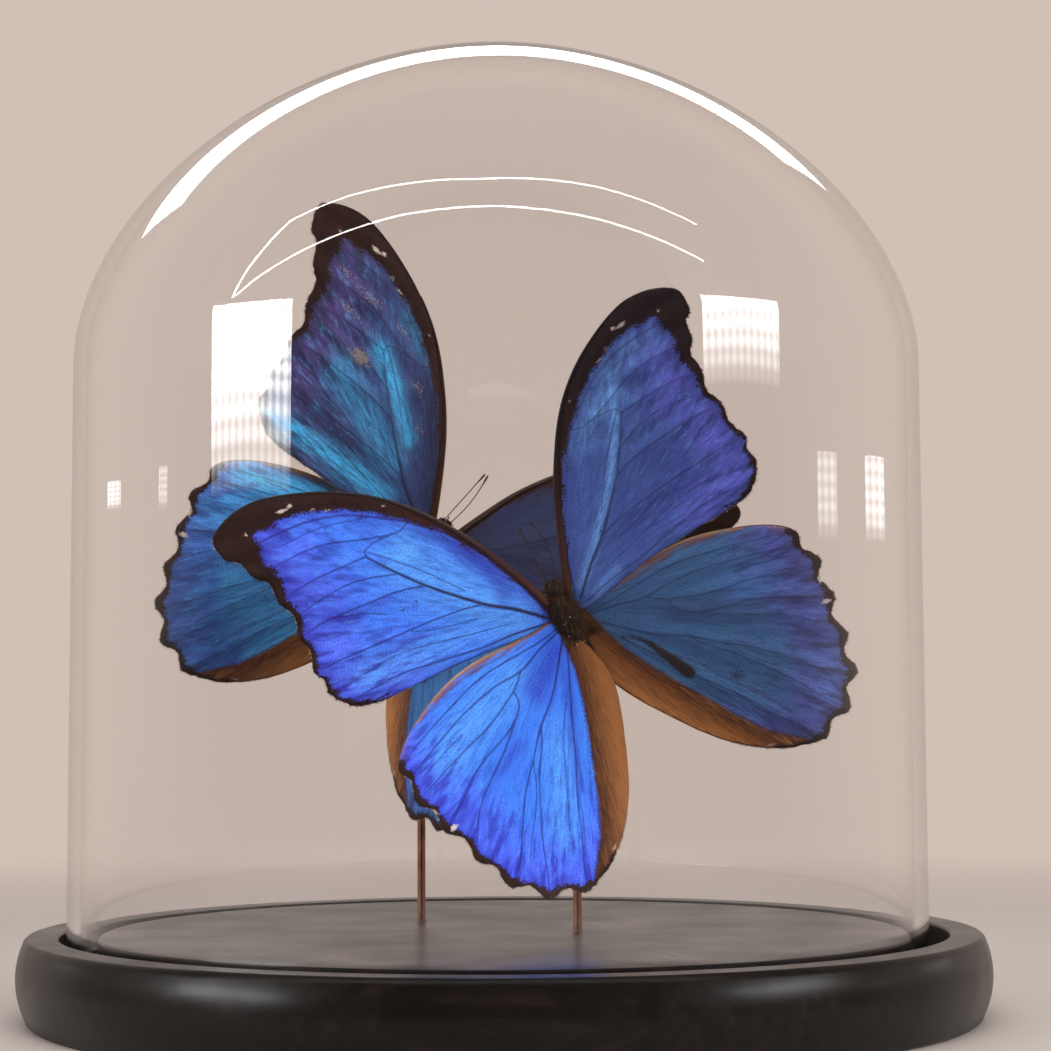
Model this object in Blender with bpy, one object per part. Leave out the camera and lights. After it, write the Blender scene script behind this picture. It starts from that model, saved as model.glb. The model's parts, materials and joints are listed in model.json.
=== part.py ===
"""Two blue butterflies on rods, under a glass dome that stands in a turned wooden base.

The origin is the middle of the base's underside. +Z is up, and the side seen first faces -Y.
Dimensions are millimetres, and become metres where the meshes are made.
"""
import math

import bmesh
import bpy
from mathutils import Vector

MM = 0.001

# Wooden base, turned in one piece
BASE_HEIGHT = 19.0
BASE_RADIUS = 112.7          # at the fullest part of the rounded edge
BASE_FULLEST_HEIGHT = 10.3
BASE_EDGE_CURVE = 0.0264     # how fast the edge draws in, in 1/mm
GROOVE_OUTER_RADIUS = 103.1
GROOVE_INNER_RADIUS = 94.4
GROOVE_DEPTH = 6.0
EDGE_EASING = 0.6            # small rounding of the turned corners
ROD_HOLE_DEPTH = 5.0
BASE_SIDES = 72

# Glass dome, standing loose in the groove
GLASS_RADIUS = 100.0
GLASS_WALL = 3.0
GLASS_OFFSET = Vector((-1.5, 0.0, 0.0))   # it stands a little to one side in its groove
SHOULDER_HEIGHT = 151.7                   # where the straight wall ends, above the underside
CROWN_RISE = 77.0
CROWN_POWER = 1.8                         # 2 would be an ellipse, less is a leaner shoulder
GLASS_SIDES = 64
WALL_RINGS = 3
CROWN_RINGS = 11

# Rods
ROD_RADIUS = 1.0
ROD_SIDES = 12
GAP = 0.3                    # left between pieces that touch

# Wing outlines: x runs out from the hinge, y runs forward, for a wing laid flat
FOREWING_OUTLINE = [
    (4.4, 3.6), (10.3, 13.2), (21.7, 25.0), (36.3, 36.0), (51.5, 42.5), (68.5, 45.2), (78.4, 41.0),
    (77.4, 35.0), (72.0, 29.6), (66.9, 22.2), (63.7, 13.4), (61.6, 4.8), (58.4, -1.8),
    (50.4, -6.6), (35.0, -5.6), (20.0, -3.8), (4.6, -2.4),
]
HINDWING_OUTLINE = [
    (3.8, -5.4), (9.0, -4.2), (17.0, -1.0), (26.0, 2.2), (37.5, 2.4), (50.5, -0.2), (58.4, -4.8),
    (60.2, -13.0), (59.0, -22.0), (57.0, -31.8), (54.6, -41.0), (48.4, -49.4), (39.5, -54.2),
    (30.0, -53.6), (21.5, -50.6), (13.0, -44.5), (3.8, -33.5), (-1.2, -25.0), (-2.2, -19.5),
    (1.2, -14.0), (2.4, -9.0),
]
OUTLINE_STEPS = 3            # points per stretch between two outline points
WING_THICKNESS = 0.4
WING_HINGE = Vector((2.5, 0.0, 0.0))
HINDWING_DROP = 1.3          # the hindwing hinges this far under the forewing
WING_FOLD_LINES = (16.0, 32.0, 48.0, 64.0)   # where a cambered wing may bend

# Body sections: distance forward of the wing hinges, half width, half height, height of centre
BODY_SECTIONS = [
    (-15.6, 0.7, 0.6, -1.4), (-14.2, 1.6, 1.5, -1.3), (-11.5, 2.1, 2.0, -1.1), (-8.8, 2.0, 1.9, -0.9),
    (-7.0, 2.6, 2.7, -0.7), (-4.0, 3.2, 3.6, -0.5), (-0.5, 3.3, 3.9, -0.4), (2.6, 2.6, 3.1, -0.3),
    (3.8, 1.5, 1.7, 0.0), (4.6, 1.7, 1.7, 0.1), (5.6, 1.9, 1.7, 0.2), (6.5, 1.5, 1.2, 0.3),
    (7.0, 0.6, 0.5, 0.3),
]
BODY_SIDES = 14

ANTENNA_RADIUS = 0.22
ANTENNA_CLUB = 1.9           # the club's thickness, as a multiple of the shaft's
ANTENNA_LENGTH = 15.3
ANTENNA_START = 7.4          # forward of the wing hinges, clear of the head
ANTENNA_POINTS = 9

# Each butterfly: thorax place and body angles, then raise, sweep, twist (degrees), camber (1/m),
# span and chord factors of each wing, each antenna's bow and lean, and its rod
BUTTERFLIES = {
    "front": {
        "thorax": (13.9, -16.0, 94.0),
        "angles": (118.8, -26.5, 0.7),
        "forewing_left": (22.3, 18.3, 1.4, 0.1, 1.01, 1.01),
        "forewing_right": (25.7, 25.8, -4.4, 2.7, 1.05, 0.98),
        "hindwing_left": (36.2, 3.7, -23.7, 0.0, 0.98, 0.98),
        "hindwing_right": (32.1, 10.2, -7.2, 0.0, 0.99, 0.99),
        "antenna_left": (0.0, -0.2),
        "antenna_right": (1.5, 1.1),
        "rod": (17.0, -11.0),
        "rod_top": 83.2,
    },
    "rear": {
        "thorax": (-17.4, 17.5, 111.2),
        "angles": (117.9, 28.7, 0.8),
        "forewing_left": (42.2, 27.0, -3.2, -1.6, 1.045, 1.0),
        "forewing_right": (22.5, 15.7, 6.6, 0.0, 0.99, 0.94),
        "hindwing_left": (35.9, 10.6, -9.5, 0.0, 1.03, 1.01),
        "hindwing_right": (40.0, -4.0, -4.0, 0.0, 1.00, 1.00),
        "antenna_left": (0.0, 4.1),
        "antenna_right": (0.8, 3.3),
        "rod": (-21.3, 26.2),
        "rod_top": 98.9,
    },
}

COLOURS = {
    "black_stained_wood": ((0.012, 0.010, 0.009), 0.35, 0.0),
    "clear_glass": ((0.92, 0.95, 0.94), 0.02, 0.0),
    "copper_rod": ((0.40, 0.20, 0.13), 0.30, 1.0),
    "blue_wing": ((0.05, 0.20, 0.80), 0.35, 0.3),
    "dark_insect": ((0.020, 0.013, 0.009), 0.80, 0.0),
}


def material(name):
    """The Principled material of that name, made once."""
    existing = bpy.data.materials.get(name)
    if existing:
        return existing
    colour, roughness, metallic = COLOURS[name]
    made = bpy.data.materials.new(name)
    made.use_nodes = True
    shader = made.node_tree.nodes["Principled BSDF"]
    shader.inputs["Base Color"].default_value = (*colour, 1.0)
    shader.inputs["Roughness"].default_value = roughness
    shader.inputs["Metallic"].default_value = metallic
    if name == "clear_glass":
        shader.inputs["Transmission Weight"].default_value = 1.0
        shader.inputs["IOR"].default_value = 1.5
    return made


def object_from(name, mesh_data, finish, smooth=True):
    """An object in the scene with its material, its mesh facing out."""
    mesh = bpy.data.meshes.new(name)
    bmesh.ops.recalc_face_normals(mesh_data, faces=mesh_data.faces)
    mesh_data.to_mesh(mesh)
    mesh_data.free()
    if smooth:
        mesh.shade_smooth()
        mesh.set_sharp_from_angle(angle=math.radians(40))
    mesh.materials.append(material(finish))
    made = bpy.data.objects.new(name, mesh)
    bpy.context.scene.collection.objects.link(made)
    return made


def lathe(profile, sides):
    """Turn a closed profile of (radius, height) points; a radius of 0 becomes one point."""
    turned = bmesh.new()
    rings = []
    for radius, height in profile:
        if radius == 0.0:
            rings.append([turned.verts.new((0.0, 0.0, height * MM))] * sides)
            continue
        ring = []
        for step in range(sides):
            turn = math.tau * step / sides
            spot = (radius * math.cos(turn) * MM, radius * math.sin(turn) * MM, height * MM)
            ring.append(turned.verts.new(spot))
        rings.append(ring)
    for low, high in zip(rings, rings[1:] + rings[:1]):
        for step in range(sides):
            after = (step + 1) % sides
            corners = [low[step], low[after], high[after], high[step]]
            unique = list(dict.fromkeys(corners))
            if len(unique) > 2:
                turned.faces.new(unique)
    return turned


def base_edge_radius(height):
    """Radius of the base's rounded edge at a height."""
    return BASE_RADIUS - BASE_EDGE_CURVE * (height - BASE_FULLEST_HEIGHT) ** 2


def make_base():
    """The turned base: rounded edge, rim, groove and flat middle, drilled for the rods."""
    groove_floor = BASE_HEIGHT - GROOVE_DEPTH
    edge_heights = [0.0, 3.0, 6.5, BASE_FULLEST_HEIGHT, 14.0, BASE_HEIGHT - EDGE_EASING]
    profile = [(0.0, 0.0)]
    profile += [(base_edge_radius(height), height) for height in edge_heights]
    profile += [
        (base_edge_radius(BASE_HEIGHT) - EDGE_EASING, BASE_HEIGHT),
        (GROOVE_OUTER_RADIUS, BASE_HEIGHT),
        (GROOVE_OUTER_RADIUS, groove_floor),
        (GROOVE_INNER_RADIUS, groove_floor),
        (GROOVE_INNER_RADIUS, BASE_HEIGHT - EDGE_EASING),
        (GROOVE_INNER_RADIUS - EDGE_EASING, BASE_HEIGHT),
        (0.0, BASE_HEIGHT),
    ]
    base = object_from("base", lathe(profile, BASE_SIDES), "black_stained_wood")
    for butterfly in BUTTERFLIES.values():
        drill_depth = ROD_HOLE_DEPTH + GAP
        bit = rod_mesh(ROD_RADIUS + GAP, BASE_HEIGHT - drill_depth, BASE_HEIGHT + GAP)
        drill = object_from("drill", bit, "black_stained_wood")
        drill.location = (butterfly["rod"][0] * MM, butterfly["rod"][1] * MM, 0.0)
        drill.hide_render = True
        drill.display_type = "WIRE"
        cut = base.modifiers.new("rod_hole", "BOOLEAN")
        cut.operation = "DIFFERENCE"
        cut.solver = "EXACT"
        cut.object = drill


def rod_mesh(radius, bottom, top):
    """An upright round bar about the origin."""
    return lathe([(0.0, bottom), (radius, bottom), (radius, top), (0.0, top)], ROD_SIDES)


def crown_profile(radius, rise, rings):
    """Points of the rounded crown from the shoulder to the top, for a wall of that radius."""
    points = []
    for ring in range(rings):
        turn = 0.5 * math.pi * ring / rings
        out = radius * math.cos(turn) ** (2.0 / CROWN_POWER)
        up = rise * math.sin(turn) ** (2.0 / CROWN_POWER)
        points.append((out, SHOULDER_HEIGHT + up))
    points.append((0.0, SHOULDER_HEIGHT + rise))
    return points


def make_glass_dome():
    """The blown dome: a straight wall and a rounded crown of even thickness, open below."""
    foot = BASE_HEIGHT - GROOVE_DEPTH + GAP
    heights = [foot + (SHOULDER_HEIGHT - foot) * ring / WALL_RINGS for ring in range(WALL_RINGS)]
    inner_radius = GLASS_RADIUS - GLASS_WALL
    outer = [(GLASS_RADIUS, height) for height in heights]
    outer += crown_profile(GLASS_RADIUS, CROWN_RISE, CROWN_RINGS)
    inner = [(inner_radius, height) for height in heights]
    inner += crown_profile(inner_radius, CROWN_RISE - GLASS_WALL, CROWN_RINGS)
    shell = lathe(outer + inner[::-1], GLASS_SIDES)
    dome = object_from("glass_dome", shell, "clear_glass")
    dome.location = GLASS_OFFSET * MM


def smooth_outline(points, steps):
    """A closed smooth curve through the points, with that many points per stretch."""
    curve = []
    count = len(points)
    for index in range(count):
        before, start, end, after = (Vector(points[(index + k) % count]) for k in (-1, 0, 1, 2))
        for step in range(steps):
            t = step / steps
            bend = 2.0 * start + (end - before) * t
            bend += (2.0 * before - 5.0 * start + 4.0 * end - after) * t ** 2
            bend += (3.0 * start - before - 3.0 * end + after) * t ** 3
            curve.append(bend * 0.5)
    return curve


def make_wing(name, outline, pose, side, drop, parent):
    """One thin wing: its flat outline, bent by its camber, then set at its angles."""
    raise_angle, sweep, twist, camber, span, chord = pose
    blade = bmesh.new()
    corners = [(p.x * span, p.y * chord) for p in smooth_outline(outline, OUTLINE_STEPS)]
    blade.faces.new([blade.verts.new((x * MM, y * MM, 0.0)) for x, y in corners])
    if camber:
        for line in WING_FOLD_LINES:
            everything = blade.verts[:] + blade.edges[:] + blade.faces[:]
            cut_at = (line * span * MM, 0.0, 0.0)
            bmesh.ops.bisect_plane(blade, geom=everything, plane_co=cut_at, plane_no=(1, 0, 0))
    bmesh.ops.triangulate(blade, faces=blade.faces)
    for vert in blade.verts:
        vert.co.z = camber * (vert.co.x ** 2 + vert.co.y ** 2)
    skin = bmesh.ops.extrude_face_region(blade, geom=blade.faces[:])
    raised = [item for item in skin["geom"] if isinstance(item, bmesh.types.BMVert)]
    bmesh.ops.translate(blade, verts=raised, vec=(0.0, 0.0, WING_THICKNESS * MM))
    for vert in blade.verts:
        vert.co.x *= side
    wing = object_from(name, blade, "blue_wing", smooth=False)
    wing.parent = parent
    wing.location = (side * WING_HINGE.x * MM, 0.0, -drop * MM)
    wing.rotation_mode = "ZXY"
    wing.rotation_euler = (
        math.radians(twist), math.radians(-side * raise_angle), math.radians(side * sweep)
    )


def make_body(name, parent):
    """Head, thorax and short abdomen as one rounded form along the body's length."""
    form = bmesh.new()
    rings = []
    for forward, wide, high, centre in BODY_SECTIONS:
        ring = []
        for step in range(BODY_SIDES):
            turn = math.tau * step / BODY_SIDES
            spot = Vector((wide * math.cos(turn), forward, centre + high * math.sin(turn)))
            ring.append(form.verts.new(spot * MM))
        rings.append(ring)
    for low, high in zip(rings, rings[1:]):
        for step in range(BODY_SIDES):
            after = (step + 1) % BODY_SIDES
            form.faces.new([low[step], low[after], high[after], high[step]])
    form.faces.new(rings[0])
    form.faces.new(rings[-1])
    body = object_from(name, form, "dark_insect")
    body.parent = parent


def make_antenna(name, side, bow, lean, parent):
    """A thin feeler that bows out and ends in a small club."""
    curve = bpy.data.curves.new(name, "CURVE")
    curve.dimensions = "3D"
    curve.bevel_depth = ANTENNA_RADIUS * MM
    curve.bevel_resolution = 1
    curve.use_fill_caps = True
    spline = curve.splines.new("POLY")
    spline.points.add(ANTENNA_POINTS - 1)
    for index, point in enumerate(spline.points):
        along = index / (ANTENNA_POINTS - 1)
        across = side * (0.9 + bow * math.sin(math.pi * along)) + lean * along
        forward = ANTENNA_START + ANTENNA_LENGTH * along
        up = 0.6 - 0.8 * along ** 2
        point.co = (across * MM, forward * MM, up * MM, 1.0)
        club = max(0.0, (along - 0.75) / 0.25)
        point.radius = 1.0 + (ANTENNA_CLUB - 1.0) * math.sin(0.5 * math.pi * club)
    curve.materials.append(material("dark_insect"))
    antenna = bpy.data.objects.new(name, curve)
    bpy.context.scene.collection.objects.link(antenna)
    antenna.parent = parent


def make_butterfly(which, plan):
    """One butterfly about its thorax, and the rod that holds it."""
    stem = "butterfly_" + which
    thorax = bpy.data.objects.new(stem, None)
    bpy.context.scene.collection.objects.link(thorax)
    thorax.location = Vector(plan["thorax"]) * MM
    thorax.rotation_euler = [math.radians(angle) for angle in plan["angles"]]
    make_body(stem + "_body", thorax)
    for hand, side in (("left", -1), ("right", 1)):
        forewing = "forewing_" + hand
        hindwing = "hindwing_" + hand
        antenna = "antenna_" + hand
        make_wing(f"{stem}_{forewing}", FOREWING_OUTLINE, plan[forewing], side, 0.0, thorax)
        make_wing(f"{stem}_{hindwing}", HINDWING_OUTLINE, plan[hindwing], side, HINDWING_DROP, thorax)
        make_antenna(f"{stem}_{antenna}", side, *plan[antenna], thorax)
    bar = rod_mesh(ROD_RADIUS, BASE_HEIGHT - ROD_HOLE_DEPTH, plan["rod_top"])
    rod = object_from("rod_" + which, bar, "copper_rod")
    rod.location = (plan["rod"][0] * MM, plan["rod"][1] * MM, 0.0)


def main():
    for old in list(bpy.data.objects):
        bpy.data.objects.remove(old, do_unlink=True)
    make_base()
    make_glass_dome()
    for which, plan in BUTTERFLIES.items():
        make_butterfly(which, plan)
    bpy.context.view_layer.update()


main()
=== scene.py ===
# %% [markdown]
# # Two blue butterflies under a glass dome
# Two dried morpho butterflies stand on copper-coloured rods inside a blown glass dome, and the dome stands
# in the groove of a round base, turned from wood and stained black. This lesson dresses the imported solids:
# each piece gets a fine mesh where the solid is too plain, and a finish named for what it is made of.
# Lengths are written in millimetres, as a maker would, and become metres with `MM`.

# %% Load the frame that every piece is built around
import json
import math

import bpy
import numpy as np
from mathutils import Euler, Matrix, Vector, geometry, noise

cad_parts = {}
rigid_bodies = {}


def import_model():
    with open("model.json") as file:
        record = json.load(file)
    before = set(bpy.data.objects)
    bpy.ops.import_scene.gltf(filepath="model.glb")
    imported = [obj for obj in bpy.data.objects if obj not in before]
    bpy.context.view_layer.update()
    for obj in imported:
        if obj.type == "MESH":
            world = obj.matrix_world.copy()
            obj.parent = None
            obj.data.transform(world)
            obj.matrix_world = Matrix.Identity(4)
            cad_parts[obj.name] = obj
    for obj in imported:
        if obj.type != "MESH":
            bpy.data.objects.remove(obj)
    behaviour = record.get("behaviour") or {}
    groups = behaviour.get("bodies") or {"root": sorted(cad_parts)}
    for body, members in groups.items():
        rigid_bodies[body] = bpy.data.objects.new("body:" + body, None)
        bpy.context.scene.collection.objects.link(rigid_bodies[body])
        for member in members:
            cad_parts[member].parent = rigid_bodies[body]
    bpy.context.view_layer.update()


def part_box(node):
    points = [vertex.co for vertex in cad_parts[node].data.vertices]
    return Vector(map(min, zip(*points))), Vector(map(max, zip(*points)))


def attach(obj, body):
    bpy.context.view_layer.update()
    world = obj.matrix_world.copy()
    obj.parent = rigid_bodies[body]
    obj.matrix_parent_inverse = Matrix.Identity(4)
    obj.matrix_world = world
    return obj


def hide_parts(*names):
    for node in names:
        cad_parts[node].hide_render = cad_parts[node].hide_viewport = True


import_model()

MM = 0.001

# %% [markdown]
# ## Small helpers
# Colours are given as sRGB hex values, the way paint charts give them, and Blender wants linear light, so
# one function turns them. A finish is a Principled material with a few more nodes in front of it. One
# function adds a node, sets what is given as a value and links what is given as another node's output.

# %% Colour, finish and node helpers
def linear(hex_colour):
    """Linear RGBA of an sRGB hex colour such as #4C98FF."""
    channels = [int(hex_colour[start:start + 2], 16) / 255 for start in (1, 3, 5)]
    turned = [c / 12.92 if c <= 0.04045 else ((c + 0.055) / 1.055) ** 2.4 for c in channels]
    return (*turned, 1.0)


def new_finish(name):
    """A material with its node tree and its Principled shader."""
    made = bpy.data.materials.new(name)
    made.use_nodes = True
    return made, made.node_tree, made.node_tree.nodes["Principled BSDF"]


def add(tree, kind, inputs=None, stops=(), **settings):
    """Add one node: settings are its options, inputs its sockets, stops a ramp's (place, colour) pairs."""
    made = tree.nodes.new("ShaderNode" + kind)
    for option, value in settings.items():
        setattr(made, option, value)
    for place, colour in stops[2:]:
        made.color_ramp.elements.new(place)
    for element, (place, colour) in zip(made.color_ramp.elements if stops else (), stops):
        element.position = place
        element.color = linear(colour)
    for socket, value in (inputs or {}).items():
        if isinstance(value, bpy.types.NodeSocket):
            tree.links.new(value, made.inputs[socket])
        else:
            made.inputs[socket].default_value = value
    return made


print("mid grey in linear light:", round(linear("#808080")[0], 3))

# %% Mesh helpers
def place_mesh(name, points, faces, finishes, face_finish=None, smooth=True):
    """A mesh object from points in metres and faces; face_finish gives each face's finish by number."""
    mesh = bpy.data.meshes.new(name)
    mesh.from_pydata([tuple(point) for point in points], [], [tuple(face) for face in faces])
    for finish in finishes:
        mesh.materials.append(finish)
    if face_finish is not None:
        mesh.polygons.foreach_set("material_index", np.asarray(face_finish, dtype=np.int32))
    if smooth:
        mesh.shade_smooth()
    mesh.update()
    made = bpy.data.objects.new(name, mesh)
    bpy.context.scene.collection.objects.link(made)
    return made


def keep_values(piece, **values):
    """Store one number per mesh point under each name, for the finish to read."""
    for name, numbers in values.items():
        layer = piece.data.attributes.new(name, "FLOAT", "POINT")
        layer.data.foreach_set("value", np.asarray(numbers, dtype=np.float32))


def turned_mesh(profile, sides):
    """Points and faces of a closed (radius, height) profile in mm turned about the upright axis."""
    points, rings, faces = [], [], []
    for radius, height in profile:
        around = [0.0] if radius == 0 else [math.tau * step / sides for step in range(sides)]
        first = len(points)
        points += [(radius * math.cos(a) * MM, radius * math.sin(a) * MM, height * MM) for a in around]
        rings.append([first + (step if radius else 0) for step in range(sides)])
    for low, high in zip(rings, rings[1:] + rings[:1]):
        for step in range(sides):
            after = (step + 1) % sides
            corners = dict.fromkeys((low[step], low[after], high[after], high[step]))
            if len(corners) > 2:
                faces.append(tuple(corners))
    return points, faces


def tube(path, radii, sides=8):
    """Points and faces of a closed round tube in mm along a path, with a radius for each path point."""
    path = np.asarray(path, float)
    radii = np.asarray(radii, float)
    forward = np.gradient(path, axis=0)
    forward /= np.linalg.norm(forward, axis=1)[:, None] + 1e-12
    first_side = np.cross(forward[0], (0.0, 0.0, 1.0) if abs(forward[0][2]) < 0.9 else (1.0, 0.0, 0.0))
    sides_along = [first_side / np.linalg.norm(first_side)]
    for ahead in forward[1:]:
        kept = sides_along[-1] - ahead * np.dot(sides_along[-1], ahead)
        sides_along.append(kept / np.linalg.norm(kept))
    across = np.array(sides_along)
    up = np.cross(forward, across)
    turn = np.arange(sides) * math.tau / sides
    ring = across[:, None] * np.cos(turn)[None, :, None] + up[:, None] * np.sin(turn)[None, :, None]
    points = (path[:, None] + ring * radii[:, None, None]).reshape(-1, 3)
    faces = []
    for row in range(len(path) - 1):
        for step in range(sides):
            after = (step + 1) % sides
            a, b = row * sides + step, row * sides + after
            faces.append((a, b, b + sides, a + sides))
    faces.append(tuple(range(sides))[::-1])
    faces.append(tuple(range((len(path) - 1) * sides, len(path) * sides)))
    return points, faces


STRAND_POINTS = 7


def strands(roots, directions, lengths, thickness, droop):
    """Points and faces of tapered hairs in mm: a three-sided root, a bent middle and a tip."""
    roots = np.asarray(roots, float)
    directions = np.asarray(directions, float)
    directions = directions / (np.linalg.norm(directions, axis=1)[:, None] + 1e-12)
    lengths = np.asarray(lengths, float)[:, None]
    aside = np.cross(directions, (0.31, 0.92, 0.23))
    aside /= np.linalg.norm(aside, axis=1)[:, None] + 1e-12
    third = np.cross(directions, aside)
    middle = roots + directions * lengths * 0.55 + np.asarray(droop) * lengths * 0.12
    tip = roots + directions * lengths + np.asarray(droop) * lengths * 0.4
    rings = []
    for centre, size in ((roots, thickness), (middle, thickness * 0.7)):
        for corner in range(3):
            turn = corner * math.tau / 3
            rings.append(centre + (aside * math.cos(turn) + third * math.sin(turn)) * size)
    points = np.stack([*rings, tip], axis=1).reshape(-1, 3)
    pattern = [(2, 1, 0), (0, 1, 4, 3), (1, 2, 5, 4), (2, 0, 3, 5), (3, 4, 6), (4, 5, 6), (5, 3, 6)]
    faces = [tuple(STRAND_POINTS * hair + k for k in face) for hair in range(len(roots)) for face in pattern]
    return points, faces


def join_parts(parts):
    """Join (points, faces, finish number) parts into one list of points, faces and finish numbers."""
    points, faces, marks, count = [], [], [], 0
    for part_points, part_faces, mark in parts:
        points.append(np.asarray(part_points, float))
        faces += [tuple(count + k for k in face) for face in part_faces]
        marks += [mark] * len(part_faces)
        count += len(part_points)
    return np.concatenate(points), faces, marks


print("one strand of hair:", len(strands([(0, 0, 0)], [(0, 0, 1)], [1.0], 0.05, (0, -1, 0))[1]), "faces")

# %% [markdown]
# ## Camera
# The camera stands a little over half a metre in front, lower than the butterflies, and looks slightly up
# through a short telephoto lens, so the base shows as a thin ellipse and the dome's crown rises above.

# %% Camera
CAMERA_PLACE = Vector((0.0136, -0.5614, 0.0661))
CAMERA_PITCH, CAMERA_YAW, CAMERA_ROLL = (math.radians(a) for a in (4.906, -0.855, -0.242))

ahead = Vector((math.sin(CAMERA_YAW) * math.cos(CAMERA_PITCH),
                math.cos(CAMERA_YAW) * math.cos(CAMERA_PITCH),
                math.sin(CAMERA_PITCH)))
level = Vector((math.cos(CAMERA_YAW), -math.sin(CAMERA_YAW), 0.0))
upright = level.cross(ahead)
right = math.cos(CAMERA_ROLL) * level + math.sin(CAMERA_ROLL) * upright
upward = math.cos(CAMERA_ROLL) * upright - math.sin(CAMERA_ROLL) * level
camera_data = bpy.data.cameras.new("camera")
camera_data.sensor_width = 36.0
camera_data.lens = 80.8
camera = bpy.data.objects.new("camera", camera_data)
camera.matrix_world = Matrix.Translation(CAMERA_PLACE) @ Matrix((right, upward, -ahead)).transposed().to_4x4()
bpy.context.scene.collection.objects.link(camera)
bpy.context.scene.camera = camera
bpy.context.scene.view_settings.view_transform = "Standard"
print("camera", round(camera_data.lens, 1), "mm lens,", round(CAMERA_PLACE.length, 3), "m away")

# %% [markdown]
# ## Floor, backdrop light and soft panels
# A pale table top runs out into an even warm backdrop with no horizon line. The light is what a small
# studio has: two grid softboxes low at the left and right, which the glass wall mirrors as bright oblongs,
# two runs of thin light tube overhead, mirrored as fine arcs in the crown, and a long box behind that draws
# the dome's bright top edge. Four small louvred panels give the faint oblongs low on the wall, and three
# cloths only light the wings, since nothing glossy mirrors them. Panels are hidden from direct view and
# from light that has come through glass, and the glass casts no shadow, so the butterflies are lit cleanly.

# %% Backdrop and floor
BACKDROP = "#D0C0B6"
FLOOR_RADIUS = 6.0

world = bpy.data.worlds.new("even_backdrop")
bpy.context.scene.world = world
world.use_nodes = True
tree = world.node_tree
FRONT_ROOM, BACK_ROOM = 0.09, 0.95      # light of the room in front of the dome and behind it


def backdrop_strength(tree, toward):
    """1 where the eye meets the backdrop, straight or through glass, and the room's own light off things."""
    path = add(tree, "LightPath")
    turns = add(tree, "Math", {0: path.outputs["Glossy Depth"], 1: path.outputs["Diffuse Depth"]},
                operation="ADD", use_clamp=True).outputs[0]
    heading = add(tree, "VectorMath", {0: toward}, operation="NORMALIZE").outputs[0]
    heading = add(tree, "SeparateXYZ", {0: heading}).outputs[1]
    room = add(tree, "MapRange", {"Value": heading, "From Min": -0.3, "From Max": 0.7, "To Min": FRONT_ROOM,
                                  "To Max": BACK_ROOM}, interpolation_type="SMOOTHSTEP").outputs[0]
    return add(tree, "Mix", {0: turns, 2: 1.0, 3: room}).outputs[0]


background = tree.nodes["Background"]
background.inputs["Color"].default_value = linear(BACKDROP)
sky = add(tree, "TexCoord").outputs["Generated"]
tree.links.new(backdrop_strength(tree, sky), background.inputs["Strength"])

table_top, tree, shader = new_finish("matt_pale_table_top")
shader.inputs["Base Color"].default_value = linear("#A69C95")
shader.inputs["Roughness"].default_value = 0.75
spot = add(tree, "TexCoord").outputs["Object"]
away = add(tree, "VectorMath", {0: spot}, operation="LENGTH").outputs["Value"]
fade = add(tree, "MapRange", {"Value": away, "From Min": 0.22, "From Max": 0.75},
           interpolation_type="SMOOTHSTEP")
glow = add(tree, "Emission", {"Color": linear(BACKDROP), "Strength": backdrop_strength(tree, spot)})
blend = add(tree, "MixShader", {0: fade.outputs["Result"], 1: shader.outputs[0], 2: glow.outputs[0]})
tree.links.new(blend.outputs[0], tree.nodes["Material Output"].inputs["Surface"])

ring = [math.tau * step / 96 for step in range(96)]
floor_points = [(FLOOR_RADIUS * math.cos(a), FLOOR_RADIUS * math.sin(a), 0.0) for a in ring]
floor = place_mesh("floor", floor_points, [range(96)], [table_top], smooth=False)
print("floor", 2 * FLOOR_RADIUS, "m across")

# %% Soft panels
AIM = Vector((0.0, 0.0, 0.12))


def lamp_direction(azimuth, elevation):
    """Unit vector away from the dome; azimuth runs from +X towards +Y, and both are in degrees."""
    a, e = math.radians(azimuth), math.radians(elevation)
    return Vector((math.cos(a) * math.cos(e), math.sin(a) * math.cos(e), math.sin(e)))


def soft_panel(name, azimuth, elevation, distance, width, height, brightness):
    """A panel of light facing the dome, in metres; brightness is per square metre."""
    away = lamp_direction(azimuth, elevation)
    lamp = bpy.data.lights.new(name, "AREA")
    lamp.shape = "RECTANGLE"
    lamp.size = width
    lamp.size_y = height
    lamp.energy = brightness * width * height * math.pi
    holder = bpy.data.objects.new(name, lamp)
    holder.location = AIM + away * distance
    holder.rotation_euler = (-away).to_track_quat("-Z", "Y").to_euler()
    holder.visible_camera = False
    holder.visible_transmission = False
    bpy.context.scene.collection.objects.link(holder)
    return holder


def light_tube(start, end, width, brightness):
    """A straight thin tube of light, facing the dome, between two (azimuth, elevation, distance) places."""
    start, end = (AIM + distance * lamp_direction(azimuth, elevation)
                  for azimuth, elevation, distance in (start, end))
    along = (end - start).normalized()
    back = (start + end) / 2 - AIM
    back = (back - along * back.dot(along)).normalized()
    holder = soft_panel("tube", 0.0, 0.0, 1.0, (end - start).length, width, brightness)
    turn = Matrix((along, back.cross(along), back)).transposed().to_4x4()
    holder.matrix_world = Matrix.Translation((start + end) / 2) @ turn


print("panels face", [round(value, 2) for value in AIM])

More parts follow.
